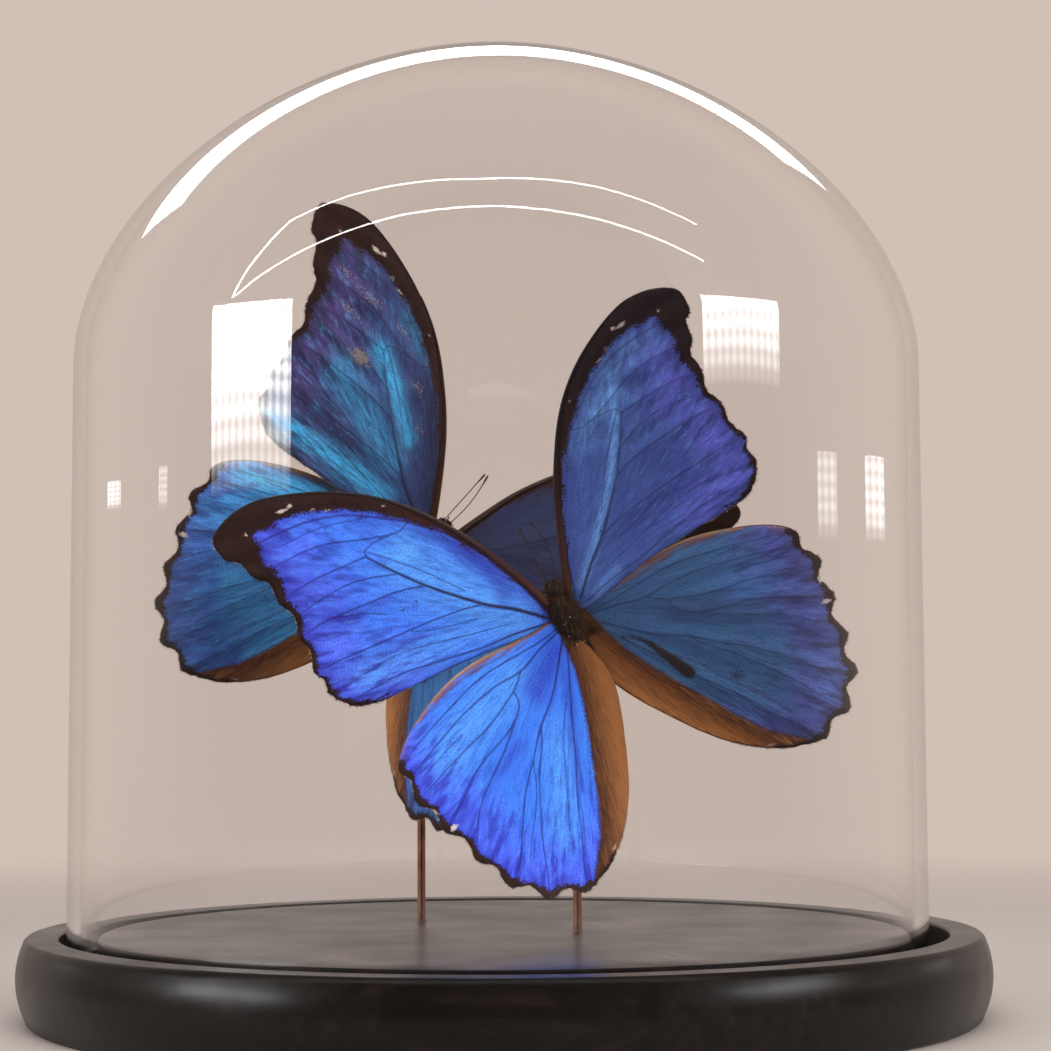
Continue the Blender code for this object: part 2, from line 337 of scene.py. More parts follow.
# %% Places of the tubes, louvres and cloths
FRONT_TUBE = ((-158.2, 18.4, 1.28), (-154.0, 26.0, 1.30), (-145.0, 37.0, 1.32), (-121.0, 52.0, 1.14),
              (-89.0, 56.7, 1.10), (-55.0, 50.3, 1.18), (-30.0, 32.5, 1.40))
TOP_TUBE = ((-158.5, 17.8, 1.15), (-158.3, 36.8, 1.20), (-158.5, 47.4, 1.25), (-147.0, 58.0, 1.20),
            (-97.0, 68.2, 1.10), (-44.0, 62.7, 1.15), (-22.0, 46.2, 1.35))
FRONT_TUBE_WIDTH, TOP_TUBE_WIDTH = 0.016, 0.013
TUBE_BRIGHTNESS = 22.0
SLAT_LIGHT, OPENING_LIGHT = 0.68, 1.2       # share of a panel's light behind louvre slats and between them
SIDE_LOUVRES = ((3.0, 5.0, 0.16, 0.06), (25.0, 5.0, 0.22, 0.06),     # azimuth, elevation, width, height
                (179.0, 5.3, 0.07, 0.03), (156.0, 5.2, 0.16, 0.02))
CLOTHS = (("overhead_cloth", -95.0, 60.0, 3.4), ("left_cloth", -140.0, 16.0, 2.0),
          ("right_cloth", -52.0, 10.0, 8.0))                         # azimuth, elevation, brightness
CLOTH_DISTANCE, CLOTH_SIZE = 1.7, 1.3
PANEL_DISTANCE = 1.2
SIDE_LOUVRE_LIGHT = 4.5


def louvre(panel, columns, rows, fade):
    """Break a panel's light into a lattice that fades towards its lower edge."""
    lamp = panel.data
    lamp.use_nodes = True
    tree = lamp.node_tree
    place = add(tree, "SeparateXYZ", {0: add(tree, "NewGeometry").outputs["Parametric"]})
    lattice = None
    for axis, count in ((0, columns), (1, rows)):
        phase = add(tree, "Math", {0: place.outputs[axis], 1: math.tau * count},
                    operation="MULTIPLY").outputs[0]
        wave = add(tree, "Math", {0: phase}, operation="SINE").outputs[0]
        bars = add(tree, "MapRange", {"Value": wave, "From Min": -1.0,
                                      "To Min": SLAT_LIGHT, "To Max": OPENING_LIGHT}).outputs[0]
        lattice = bars if lattice is None else add(tree, "Math", {0: lattice, 1: bars},
                                                   operation="MULTIPLY").outputs[0]
    ends = add(tree, "MapRange", {"Value": place.outputs[1], "From Max": fade}).outputs[0]
    share = add(tree, "Math", {0: lattice, 1: ends}, operation="MULTIPLY").outputs[0]
    tree.links.new(share, tree.nodes["Emission"].inputs["Strength"])


# %% Place the lights
louvre(soft_panel("left_grid_box", -152.0, 10.0, PANEL_DISTANCE, 0.50, 0.21, 22.0), 11, 12, 0.4)
louvre(soft_panel("right_grid_box", -25.0, 12.6, PANEL_DISTANCE, 0.48, 0.17, 19.0), 11, 9, 0.45)
for places, width in ((FRONT_TUBE, FRONT_TUBE_WIDTH), (TOP_TUBE, TOP_TUBE_WIDTH)):
    for start, end in zip(places, places[1:]):
        light_tube(start, end, width, TUBE_BRIGHTNESS)
rear_box = soft_panel("rear_box", 99.5, 41.0, 1.5, 1.95, 0.29, 4.8)
rear_box.visible_diffuse = False
for azimuth, elevation, width, height in SIDE_LOUVRES:
    panel = soft_panel("side_louvre", azimuth, elevation, PANEL_DISTANCE, width, height, SIDE_LOUVRE_LIGHT)
    louvre(panel, 3, 6, 0.3)
for name, azimuth, elevation, brightness in CLOTHS:
    cloth = soft_panel(name, azimuth, elevation, CLOTH_DISTANCE, CLOTH_SIZE, CLOTH_SIZE, brightness)
    cloth.visible_glossy = False

# %% [markdown]
# ## Black-stained turned base
# The base is one blank of plain hardwood, turned on a lathe: a full rounded edge, a flat rim, a groove for
# the glass and a flat middle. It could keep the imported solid, but that has 72 flat sides, so the same
# profile is turned again with fine sides and softly eased corners, and the two rod holes are drilled with a
# Boolean.

# %% Base sizes and profile
BASE_HEIGHT = 19.0
BASE_RADIUS = 112.7
BASE_FULLEST_HEIGHT = 10.3
BASE_EDGE_CURVE = 0.0264
GROOVE_OUTER_RADIUS = 103.1
GROOVE_INNER_RADIUS = 94.4
GROOVE_DEPTH = 6.0
EASING = 0.6
ROD_HOLE_DEPTH = 5.0
ROD_RADIUS = 1.0
GAP = 0.3
BASE_SIDES = 256
ROD_SIDES = 36
RIM_LOOP_RADIUS = 107.0     # a ring of points in the middle of the flat rim
KEPT_FLAT = 0.25            # a ring this far in from a corner keeps the flat beside it flat
RODS = {"front": ((17.0, -11.0), 83.2), "rear": ((-21.3, 26.2), 98.9)}


def eased_corner(radius, height, out, up, steps=4):
    """Points round a corner at (radius, height); out and up say where the air is."""
    arc = []
    for step in range(steps + 1):
        turn = 0.5 * math.pi * step / steps
        arc.append((radius - out * EASING * (1 - math.sin(turn)),
                    height - up * EASING * (1 - math.cos(turn))))
    return arc


def edge_radius(height):
    """Radius of the rounded edge at a height."""
    return BASE_RADIUS - BASE_EDGE_CURVE * (height - BASE_FULLEST_HEIGHT) ** 2


groove_floor = BASE_HEIGHT - GROOVE_DEPTH
base_profile = [(0.0, 0.0), (edge_radius(0.0) - EASING, 0.0)]
base_profile += [(edge_radius(h), h) for h in np.linspace(EASING, BASE_HEIGHT - EASING, 22)]
base_profile += eased_corner(edge_radius(BASE_HEIGHT), BASE_HEIGHT, 1, 1)[3::-1]
base_profile += [(edge_radius(BASE_HEIGHT) - EASING - KEPT_FLAT, BASE_HEIGHT), (RIM_LOOP_RADIUS, BASE_HEIGHT)]
base_profile += [(GROOVE_OUTER_RADIUS + EASING + KEPT_FLAT, BASE_HEIGHT)]
base_profile += eased_corner(GROOVE_OUTER_RADIUS, BASE_HEIGHT, -1, 1)
base_profile += [(GROOVE_OUTER_RADIUS, groove_floor), (GROOVE_INNER_RADIUS, groove_floor)]
base_profile += eased_corner(GROOVE_INNER_RADIUS, BASE_HEIGHT, 1, 1)[::-1]
base_profile += [(GROOVE_INNER_RADIUS - EASING - KEPT_FLAT, BASE_HEIGHT)]
base_profile += [(radius, BASE_HEIGHT) for radius in (80.0, 60.0, 40.0, 20.0, 0.0)]
print("base profile:", len(base_profile), "points,", 2 * BASE_RADIUS, "mm across")

# %% [markdown]
# ### Finish: black wood stain under satin lacquer
# The stain soaks into open-grained wood, so the grain still shows as faint brown-black streaks about 1 mm
# wide running one way across the blank, with fine pores. The lacquer gives a satin gloss that turns the
# flat top mid-grey where light grazes it. Faint lathe rings run round the edge.

# %% Black-stained wood finish
stained_wood, tree, shader = new_finish("black_stained_turned_wood")
spot = add(tree, "TexCoord").outputs["Object"]
GRAIN_LENGTH_M, GRAIN_WIDTH_M = 0.035, 0.0011
grain_map = add(tree, "Mapping", {"Vector": spot,
                "Scale": (1 / GRAIN_LENGTH_M, 1 / GRAIN_WIDTH_M, 1 / (3 * GRAIN_WIDTH_M))})
grain = add(tree, "TexNoise", {"Vector": grain_map.outputs[0], "Scale": 1.0, "Detail": 4.0, "Roughness": 0.6})
grain_colour = add(tree, "ValToRGB", {"Fac": grain.outputs[0]},
                   stops=((0.30, "#060403"), (0.55, "#0D0907"), (0.80, "#1A120E")))
# pores about 4 mm long and 0.4 mm wide
pore_map = add(tree, "Mapping", {"Vector": spot, "Scale": (260.0, 2600.0, 1500.0)})
pores = add(tree, "TexNoise", {"Vector": pore_map.outputs[0], "Scale": 1.0, "Detail": 1.0})
pore_depth = add(tree, "MapRange", {"Value": pores.outputs[0], "From Min": 0.30, "From Max": 0.42})
cloud = add(tree, "TexNoise", {"Vector": spot, "Scale": 45.0, "Detail": 3.0})
polish = add(tree, "MapRange", {"Value": cloud.outputs[0], "From Min": 0.3, "From Max": 0.7,
                                "To Min": 0.27, "To Max": 0.40})
flat = add(tree, "VectorMath", {0: spot, 1: (1.0, 1.0, 0.0)}, operation="MULTIPLY")
radius = add(tree, "VectorMath", {0: flat.outputs[0]}, operation="LENGTH")
LATHE_RING_M = 0.0016
rings = add(tree, "Math", {0: radius.outputs["Value"], 1: math.tau / LATHE_RING_M}, operation="MULTIPLY")
ring_wave = add(tree, "Math", {0: rings.outputs[0]}, operation="SINE")
relief = add(tree, "Math", {0: ring_wave.outputs[0], 1: 0.12, 2: pore_depth.outputs[0]},
             operation="MULTIPLY_ADD")
bump = add(tree, "Bump", {"Height": relief.outputs[0], "Strength": 0.12, "Distance": 0.00005})
tree.links.new(grain_colour.outputs[0], shader.inputs["Base Color"])
tree.links.new(polish.outputs[0], shader.inputs["Roughness"])
tree.links.new(bump.outputs[0], shader.inputs["Normal"])
shader.inputs["IOR"].default_value = 1.5
shader.inputs["Specular IOR Level"].default_value = 0.20
shader.inputs["Coat Weight"].default_value = 0.05
shader.inputs["Coat Roughness"].default_value = 0.18
print(stained_wood.name, "has", len(tree.nodes), "nodes")

# %% Turn the base and drill it
base_points, base_faces = turned_mesh(base_profile, BASE_SIDES)
base = place_mesh("turned_base", base_points, base_faces, [stained_wood])
for (x, y), _ in RODS.values():
    hole = [(0.0, BASE_HEIGHT - ROD_HOLE_DEPTH - GAP), (ROD_RADIUS + GAP, BASE_HEIGHT - ROD_HOLE_DEPTH - GAP),
            (ROD_RADIUS + GAP, BASE_HEIGHT + 1.0), (0.0, BASE_HEIGHT + 1.0)]
    points, faces = turned_mesh(hole, 32)
    drill = place_mesh("drill", points, faces, [stained_wood])
    drill.location = (x * MM, y * MM, 0.0)
    cut = base.modifiers.new("rod_hole", "BOOLEAN")
    cut.solver = "EXACT"
    cut.object = drill
    bpy.context.view_layer.update()
    drilled = bpy.data.meshes.new_from_object(base.evaluated_get(bpy.context.evaluated_depsgraph_get()))
    base.modifiers.clear()
    base.data = drilled
    bpy.data.objects.remove(drill)
base.data.shade_smooth()
base.data.set_sharp_from_angle(angle=math.radians(35))
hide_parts("base")
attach(base, "root")
print("base:", len(base.data.polygons), "faces")

# %% [markdown]
# ## Blown glass dome
# The dome is blown soda-lime glass, 3 mm thick and open below, with a fire-polished foot. A single surface
# with a Solidify modifier would do, but turning the outer and inner profiles in one loop lets the foot be
# rounded and keeps the wall closed, which glass needs to bend light the right way at its edges.

# %% Glass profile and mesh
GLASS_RADIUS = 100.0
GLASS_WALL = 3.0
GLASS_OFFSET = Vector((-1.5, 0.0, 0.0))
SHOULDER_HEIGHT = 151.7
CROWN_RISE = 77.0
CROWN_POWER = 1.8
GLASS_FOOT = BASE_HEIGHT - GROOVE_DEPTH + GAP
CROWN_RINGS = 56
GLASS_SIDES = 224


def glass_side(radius, rise):
    """Wall and crown of one face of the glass, from just above the foot to the top."""
    wall = [(radius, GLASS_FOOT + GLASS_WALL / 2 + rise_mm) for rise_mm in (0.0, 0.3, *range(15, 135, 15))]
    crown = []
    for step in range(CROWN_RINGS):
        turn = 0.5 * math.pi * step / CROWN_RINGS
        crown.append((radius * math.cos(turn) ** (2 / CROWN_POWER),
                      SHOULDER_HEIGHT + rise * math.sin(turn) ** (2 / CROWN_POWER)))
    return wall + crown + [(0.0, SHOULDER_HEIGHT + rise)]


foot_arc = []
for step in range(1, 8):
    turn = math.pi * step / 8
    foot_arc.append((GLASS_RADIUS - GLASS_WALL / 2 - GLASS_WALL / 2 * math.cos(turn),
                     GLASS_FOOT + GLASS_WALL / 2 * (1 - math.sin(turn))))
outer = glass_side(GLASS_RADIUS, CROWN_RISE)
inner = glass_side(GLASS_RADIUS - GLASS_WALL, CROWN_RISE - GLASS_WALL)
glass_points, glass_faces = turned_mesh(outer + inner[::-1] + foot_arc, GLASS_SIDES)
print("glass:", len(glass_faces), "faces, top at", SHOULDER_HEIGHT + CROWN_RISE, "mm")

# %% [markdown]
# ### Finish: clear soda-lime glass
# Soda-lime glass has an IOR of 1.52 and a smooth polished skin. Seen squarely, the thin wall is colourless.
# Towards the outline the light runs a long way inside it and comes out a little warmer and darker, which a
# ramp on Layer Weight gives. A faint haze, as of handling, keeps the mirrored lights from looking too
# crisp.

# %% Clear glass finish
clear_glass, tree, shader = new_finish("clear_soda_lime_glass")
shader.inputs["Transmission Weight"].default_value = 1.0
shader.inputs["IOR"].default_value = 1.52
edge_on = add(tree, "LayerWeight", {"Blend": 0.35}).outputs["Facing"]
glass_tint = add(tree, "ValToRGB", {"Fac": edge_on},
                 stops=((0.55, "#FFFEFE"), (0.86, "#E6DFD6"), (1.0, "#C9BFB2")))
tree.links.new(glass_tint.outputs[0], shader.inputs["Base Color"])
spot = add(tree, "TexCoord").outputs["Object"]
haze = add(tree, "TexNoise", {"Vector": spot, "Scale": 30.0, "Detail": 2.0})
skin = add(tree, "MapRange", {"Value": haze.outputs[0], "From Min": 0.45, "From Max": 0.8,
                              "To Min": 0.0, "To Max": 0.012})
tree.links.new(skin.outputs[0], shader.inputs["Roughness"])
print(clear_glass.name, "has", len(tree.nodes), "nodes")

# %% Place the dome
dome = place_mesh("blown_glass_dome", glass_points, glass_faces, [clear_glass])
dome.location = GLASS_OFFSET * MM
dome.visible_shadow = False
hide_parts("glass_dome")
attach(dome, "root")
print("dome:", len(dome.data.polygons), "faces")

# %% [markdown]
# ## Copper rods
# Each butterfly stands on a straight length of 2 mm copper wire, pushed into its hole in the base and
# ending under the thorax. Drawing the wire through a die leaves fine scratches along it, and handling
# leaves it a little brown. The ends are slightly rounded with a file.

# %% Drawn copper wire
copper_wire, tree, shader = new_finish("drawn_copper_wire")
spot = add(tree, "TexCoord").outputs["Object"]
# scratches 0.2 mm apart and about 17 mm long
long_map = add(tree, "Mapping", {"Vector": spot, "Scale": (5200.0, 5200.0, 60.0)})
scratches = add(tree, "TexNoise", {"Vector": long_map.outputs[0], "Scale": 1.0, "Detail": 2.0})
tarnish = add(tree, "TexNoise", {"Vector": spot, "Scale": 160.0, "Detail": 3.0})
copper_tone = add(tree, "ValToRGB", {"Fac": tarnish.outputs[0]},
                  stops=((0.35, "#6E4636"), (0.50, "#96614B"), (0.70, "#B57A60")))
wire_polish = add(tree, "MapRange", {"Value": scratches.outputs[0], "To Min": 0.24, "To Max": 0.46})
bump = add(tree, "Bump", {"Height": scratches.outputs[0], "Strength": 0.25, "Distance": 0.00005})
tree.links.new(copper_tone.outputs[0], shader.inputs["Base Color"])
tree.links.new(wire_polish.outputs[0], shader.inputs["Roughness"])
tree.links.new(bump.outputs[0], shader.inputs["Normal"])
shader.inputs["Metallic"].default_value = 1.0
print(copper_wire.name, "has", len(tree.nodes), "nodes")

# %% The two rods
for which, ((x, y), top) in RODS.items():
    bottom = BASE_HEIGHT - ROD_HOLE_DEPTH
    rod_profile = [(0.0, bottom), (0.8, bottom), (ROD_RADIUS, bottom + 0.2)]
    rod_profile += [(ROD_RADIUS, h) for h in np.linspace(bottom + 1.0, top - 1.0, 12)]
    rod_profile += [(ROD_RADIUS, top - 0.4), (0.88, top - 0.12), (0.6, top), (0.0, top)]
    points, faces = turned_mesh(rod_profile, ROD_SIDES)
    rod = place_mesh("copper_rod_" + which, points, faces, [copper_wire])
    rod.location = (x * MM, y * MM, 0.0)
    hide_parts("rod_" + which)
    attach(rod, "root")
    print("rod", which, round(top - bottom, 1), "mm long")

# %% [markdown]
# ## Wing outlines and veins
# A wing is a dry membrane stretched over a fan of hollow veins. Both butterflies are one species, so one
# forewing and one hindwing outline serve all eight wings, mirrored for the left. x runs out from the hinge
# and y runs forward, for a wing laid flat. The outer edge is scalloped: a vein ends at each point, and the
# membrane draws in between. Veins are given by the few points that their curves pass through.

# %% Forewing drawing
FOREWING_OUTLINE = [
    (1.2, 1.9), (10.3, 13.2), (21.7, 25.0), (36.3, 36.0), (51.5, 42.5), (68.5, 45.2), (78.4, 41.0),
    (77.4, 35.0), (72.0, 29.6), (66.9, 22.2), (63.7, 13.4), (61.6, 4.8), (58.4, -1.8),
    (50.4, -6.6), (35.0, -5.6), (20.0, -4.2), (1.2, -3.2),
]
FOREWING_VEINS = [   # start width, end width, stands proud, points
    (0.62, 0.26, True, [(1.4, -1.2), (10.0, 3.6), (18.0, 7.3), (30.0, 14.6), (38.0, 20.4), (44.8, 25.9)]),
    (0.45, 0.18, True, [(1.4, 0.2), (8.5, 10.0), (16.5, 18.9), (25.0, 26.0), (33.8, 31.0), (40.0, 33.7),
                        (50.0, 37.0), (60.0, 37.8), (70.0, 36.4), (77.4, 35.0)]),
    (0.22, 0.12, True, [(32.5, 30.5), (40.0, 36.0), (48.0, 39.4), (58.0, 41.6), (68.0, 42.6), (76.0, 42.0)]),
    (0.20, 0.12, True, [(33.8, 31.0), (37.0, 29.5), (45.4, 30.3), (53.3, 31.7), (60.0, 31.7), (66.0, 30.6),
                        (71.7, 29.7)]),
    (0.18, 0.14, True, [(39.0, 29.3), (43.0, 28.8), (45.4, 27.6), (44.8, 25.9)]),
    (0.20, 0.12, True, [(45.2, 26.4), (53.3, 25.6), (60.0, 24.6), (66.6, 22.3)]),
    (0.18, 0.12, True, [(38.0, 20.4), (45.4, 21.5), (50.6, 21.6), (56.0, 20.5), (61.0, 18.9), (64.9, 17.8)]),
    (0.24, 0.14, True, [(31.5, 15.6), (37.0, 16.4), (43.3, 16.4), (50.6, 15.8), (57.5, 15.0), (63.3, 13.5)]),
    (0.24, 0.14, True, [(17.5, 7.1), (23.0, 7.6), (29.6, 7.5), (40.0, 6.9), (50.6, 6.1), (57.0, 5.4),
                        (61.2, 4.8)]),
    (0.34, 0.16, True, [(1.4, -2.2), (11.0, -2.1), (20.0, -2.6), (30.0, -2.4), (40.0, -2.1), (47.0, -2.8),
                        (54.8, -4.6)]),
    (0.10, 0.06, False, [(42.2, 12.1), (48.5, 14.2), (55.0, 15.2)]),
    (0.09, 0.05, False, [(20.0, 4.3), (30.0, 5.0), (37.0, 6.5)]),
    (0.10, 0.06, False, [(22.0, 11.5), (30.0, 17.8), (37.5, 22.8), (44.6, 27.2)]),
    (0.06, 0.05, False, [(10.0, 0.4), (25.0, 1.4), (40.0, 2.5), (50.0, 0.6), (57.6, -1.4)]),
    (0.08, 0.05, False, [(36.0, 33.8), (46.0, 35.0), (56.0, 35.6), (64.0, 34.4)]),
]
FOREWING_POINTS = range(7, 12)        # outline stretches that are scalloped
FOREWING_SCALLOP = 1.2
print("forewing:", len(FOREWING_VEINS), "veins and creases")

# %% Hindwing drawing
HINDWING_OUTLINE = [
    (1.0, -2.8), (9.0, -1.4), (17.0, 0.4), (26.0, 2.2), (37.5, 2.4), (50.5, -0.2), (58.4, -4.8),
    (60.2, -13.0), (59.0, -22.0), (57.0, -31.8), (54.6, -41.0), (48.4, -49.4), (39.5, -54.2),
    (30.0, -53.6), (21.5, -50.6), (13.0, -44.5), (3.8, -33.5), (-1.6, -25.2), (-3.2, -20.0),
    (-2.8, -14.0), (-1.0, -8.5),
]
HINDWING_VEINS = [
    (0.22, 0.12, True, [(1.6, -4.4), (9.0, -3.9), (16.0, -2.8), (28.0, -1.3), (42.0, -2.3), (52.0, -3.6),
                        (58.0, -5.6)]),
    (0.30, 0.13, True, [(1.6, -5.0), (10.0, -5.3), (17.5, -6.2), (26.0, -5.0), (36.0, -5.0), (48.0, -6.4),
                        (58.9, -8.2)]),
    (0.24, 0.13, True, [(17.5, -6.2), (22.5, -8.6), (33.0, -10.9), (45.0, -11.6), (60.0, -13.1)]),
    (0.22, 0.13, True, [(22.5, -8.6), (23.0, -11.0), (25.2, -13.2), (31.0, -15.0), (38.6, -15.9),
                        (44.0, -16.9), (50.0, -19.4), (58.8, -21.9)]),
    (0.22, 0.13, True, [(25.2, -13.2), (33.5, -17.3), (40.5, -20.0), (47.5, -23.0), (52.0, -26.5),
                        (56.8, -31.5)]),
    (0.30, 0.14, True, [(1.4, -5.8), (10.0, -12.2), (15.5, -15.8), (22.3, -19.0), (29.5, -23.6),
                        (37.0, -28.3), (43.0, -33.6), (49.5, -39.2), (54.4, -41.0)]),
    (0.22, 0.13, True, [(22.3, -19.0), (25.0, -22.3), (30.5, -27.0), (36.0, -33.0), (41.0, -39.2),
                        (45.0, -45.0), (48.2, -49.2)]),
    (0.26, 0.13, True, [(1.2, -6.6), (8.0, -15.0), (14.0, -22.2), (20.0, -30.0), (26.0, -36.8),
                        (31.0, -43.5), (36.0, -49.5), (39.3, -54.0)]),
    (0.24, 0.12, True, [(1.0, -7.2), (6.4, -17.0), (10.4, -25.0), (15.0, -33.0), (21.0, -41.6),
                        (27.0, -48.4), (31.0, -53.2)]),
    (0.10, 0.06, False, [(30.0, -24.5), (34.0, -29.5), (40.0, -34.8), (46.0, -39.6)]),
    (0.08, 0.05, False, [(13.0, -19.0), (19.0, -24.5), (26.0, -33.0), (33.0, -41.5)]),
    (0.08, 0.05, False, [(40.0, -8.4), (48.0, -8.9), (56.0, -10.0)]),
    (0.12, 0.06, False, [(1.2, -17.0), (4.0, -25.0), (9.0, -34.0), (15.5, -42.0), (22.0, -48.6)]),
]
HINDWING_POINTS = range(6, 12)
HINDWING_SCALLOP = 2.2
FLAP_LINE = [(3.2, -7.0), (6.2, -15.6), (10.0, -22.4), (14.2, -29.0), (18.4, -34.8), (22.4, -40.6),
             (26.6, -45.8), (31.4, -49.8), (36.0, -53.2)]
print("hindwing:", len(HINDWING_VEINS), "veins and creases")

# %% [markdown]
# ## How each wing is set
# The thorax of each butterfly has a place and three angles, and each wing hinges beside it with its raise,
# sweep, twist, camber, span and chord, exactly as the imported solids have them. A wing's matrix is worked
# out once here, and everything that belongs to the wing is built flat and then carried by it.

# %% Places and angles
BUTTERFLIES = {
    "front": {
        "thorax": (13.9, -16.0, 94.0), "angles": (118.8, -26.5, 0.7),
        "forewing_left": (22.3, 18.3, 1.4, 0.1, 1.01, 1.01),
        "forewing_right": (25.7, 25.8, -4.4, 2.7, 1.05, 0.98),
        "hindwing_left": (36.2, 3.7, -23.7, 0.0, 0.98, 0.98),
        "hindwing_right": (32.1, 10.2, -7.2, 0.0, 0.99, 0.99),
        "antenna_left": (0.0, -0.2), "antenna_right": (1.5, 1.1),
    },
    "rear": {
        "thorax": (-17.4, 17.5, 111.2), "angles": (117.9, 28.7, 0.8),
        "forewing_left": (42.2, 27.0, -3.2, -1.6, 1.045, 1.00),
        "forewing_right": (22.5, 15.7, 6.6, 0.0, 0.99, 0.94),
        "hindwing_left": (35.9, 10.6, -9.5, 0.0, 1.03, 1.01),
        "hindwing_right": (40.0, -4.0, -4.0, 0.0, 1.00, 1.00),
        "antenna_left": (0.0, 4.1), "antenna_right": (0.8, 3.3),
    },
}
SIDES = {"left": -1, "right": 1}
WING_HINGE = 2.5
HINDWING_DROP = 1.3
WING_MIDDLE = 0.2           # height of the membrane's middle above the hinge plane
MEMBRANE = 0.22             # the membrane's thickness with its scales, thicker than life so that it renders


def body_matrix(plan):
    """Where a butterfly's own millimetres go in the scene."""
    turn = Euler([math.radians(a) for a in plan["angles"]], "XYZ").to_matrix().to_4x4()
    return Matrix.Translation(Vector(plan["thorax"]) * MM) @ turn @ Matrix.Scale(MM, 4)


def wing_matrix(plan, wing):
    """Where a wing's own millimetres go in the scene; the left wing's x already runs to the left."""
    side = SIDES[wing.split("_")[1]]
    raised, sweep, twist = plan[wing][:3]
    drop = HINDWING_DROP if wing.startswith("hind") else 0.0
    turn = Euler((math.radians(twist), math.radians(-side * raised), math.radians(side * sweep)), "ZXY")
    hinge = Matrix.Translation((side * WING_HINGE, 0.0, -drop))
    return body_matrix(plan) @ hinge @ turn.to_matrix().to_4x4()


print("thoraxes at", [plan["thorax"] for plan in BUTTERFLIES.values()])

# %% [markdown]
# ## Membrane mesh
# A grid cut by the outline would leave stair steps, so the membrane is a Delaunay mesh: points along the
# scalloped edge and along every vein, and a hexagonal scatter between them. Because the veins lie on mesh
# edges, the distance from any point to its nearest vein can be stored per point and still be exact in
# between.

# %% Curves and distances
def smooth_line(points, spacing, closed=False):
    """A curve through the points with a point about every spacing, and each point's stretch number."""
    knots = np.asarray(points, float)
    count = len(knots)
    curve, stretch = [], []
    for index in range(count if closed else count - 1):
        if closed:
            before, start, end, after = (knots[(index + k) % count] for k in (-1, 0, 1, 2))
        else:
            start, end = knots[index], knots[index + 1]
            before = knots[index - 1] if index else 2 * start - end
            after = knots[index + 2] if index + 2 < count else 2 * end - start
        steps = max(2, math.ceil(np.linalg.norm(end - start) / spacing))
        for step in range(steps):
            t = step / steps
            bend = 2 * start + (end - before) * t + (2 * before - 5 * start + 4 * end - after) * t ** 2
            bend = bend + (3 * start - before - 3 * end + after) * t ** 3
            curve.append(bend * 0.5)
            stretch.append(index + t)
    if not closed:
        curve.append(knots[-1])
        stretch.append(count - 1)
    return np.array(curve), np.array(stretch)


def near_line(points, line):
    """For each point: distance to a polyline, how far along it (0 to 1), and which side, left being +1."""
    start, step = line[:-1], np.diff(line, axis=0)
    reach = points[:, None] - start[None]
    along = np.clip((reach * step).sum(2) / ((step ** 2).sum(1) + 1e-12), 0.0, 1.0)
    gap = np.linalg.norm(reach - along[..., None] * step, axis=2)
    nearest = gap.argmin(1)
    rows = np.arange(len(points))
    turn = step[nearest, 0] * reach[rows, nearest, 1] - step[nearest, 1] * reach[rows, nearest, 0]
    return gap[rows, nearest], (nearest + along[rows, nearest]) / len(start), np.where(turn >= 0, 1.0, -1.0)


def inside(points, loop):
    """Which points lie inside a closed loop."""
    x, y = points[:, 0][:, None], points[:, 1][:, None]
    x0, y0 = loop[:, 0], loop[:, 1]
    x1, y1 = np.roll(x0, -1), np.roll(y0, -1)
    crosses = ((y0 > y) != (y1 > y)) & (x < (x1 - x0) * (y - y0) / (y1 - y0 + 1e-12) + x0)
    return crosses.sum(1) % 2 == 1


RAGGED = 0.28                # how far worn scales leave the outer edge uneven
FRONT_END = 6                # outline stretch numbers: where the front edge ends,
OUTER_END = 13.4             # where the outer edge ends,
FRINGE_END = 14.6            # and where the fringe stops


def scalloped(outline, stretches, depth, seed, spacing=0.5):
    """The outline with its points drawn in between vein ends, and slightly ragged as scales wear off."""
    curve, stretch = smooth_line(outline, spacing, closed=True)
    ahead = np.roll(curve, -1, 0) - np.roll(curve, 1, 0)
    inward = np.stack([ahead[:, 1], -ahead[:, 0]], 1) / np.linalg.norm(ahead, axis=1)[:, None]
    part = stretch % 1.0
    drawn = np.where(np.isin(stretch.astype(int), list(stretches)), depth * np.sin(math.pi * part) ** 2, 0.0)
    ragged = [noise.noise(Vector((x * 0.8, y * 0.8, seed))) * RAGGED for x, y in curve]
    edge = (stretch > stretches[0]) & (stretch < stretches[-1] + 3.0)
    return curve + inward * (drawn + np.where(edge, ragged, 0.0))[:, None], stretch


print("hindwing edge:", len(smooth_line(HINDWING_OUTLINE, 0.5, closed=True)[0]), "points")

# %% Fill the outline with triangles
GRID = 0.85                  # spacing of the membrane's points
BESIDE_VEIN = 0.42           # a row of points runs this far to each side of a vein
CLEAR_OF_VEIN = 0.8          # no scattered point lies nearer to a vein than this,
CLEAR_OF_EDGE = 0.35         # or nearer to the edge than this


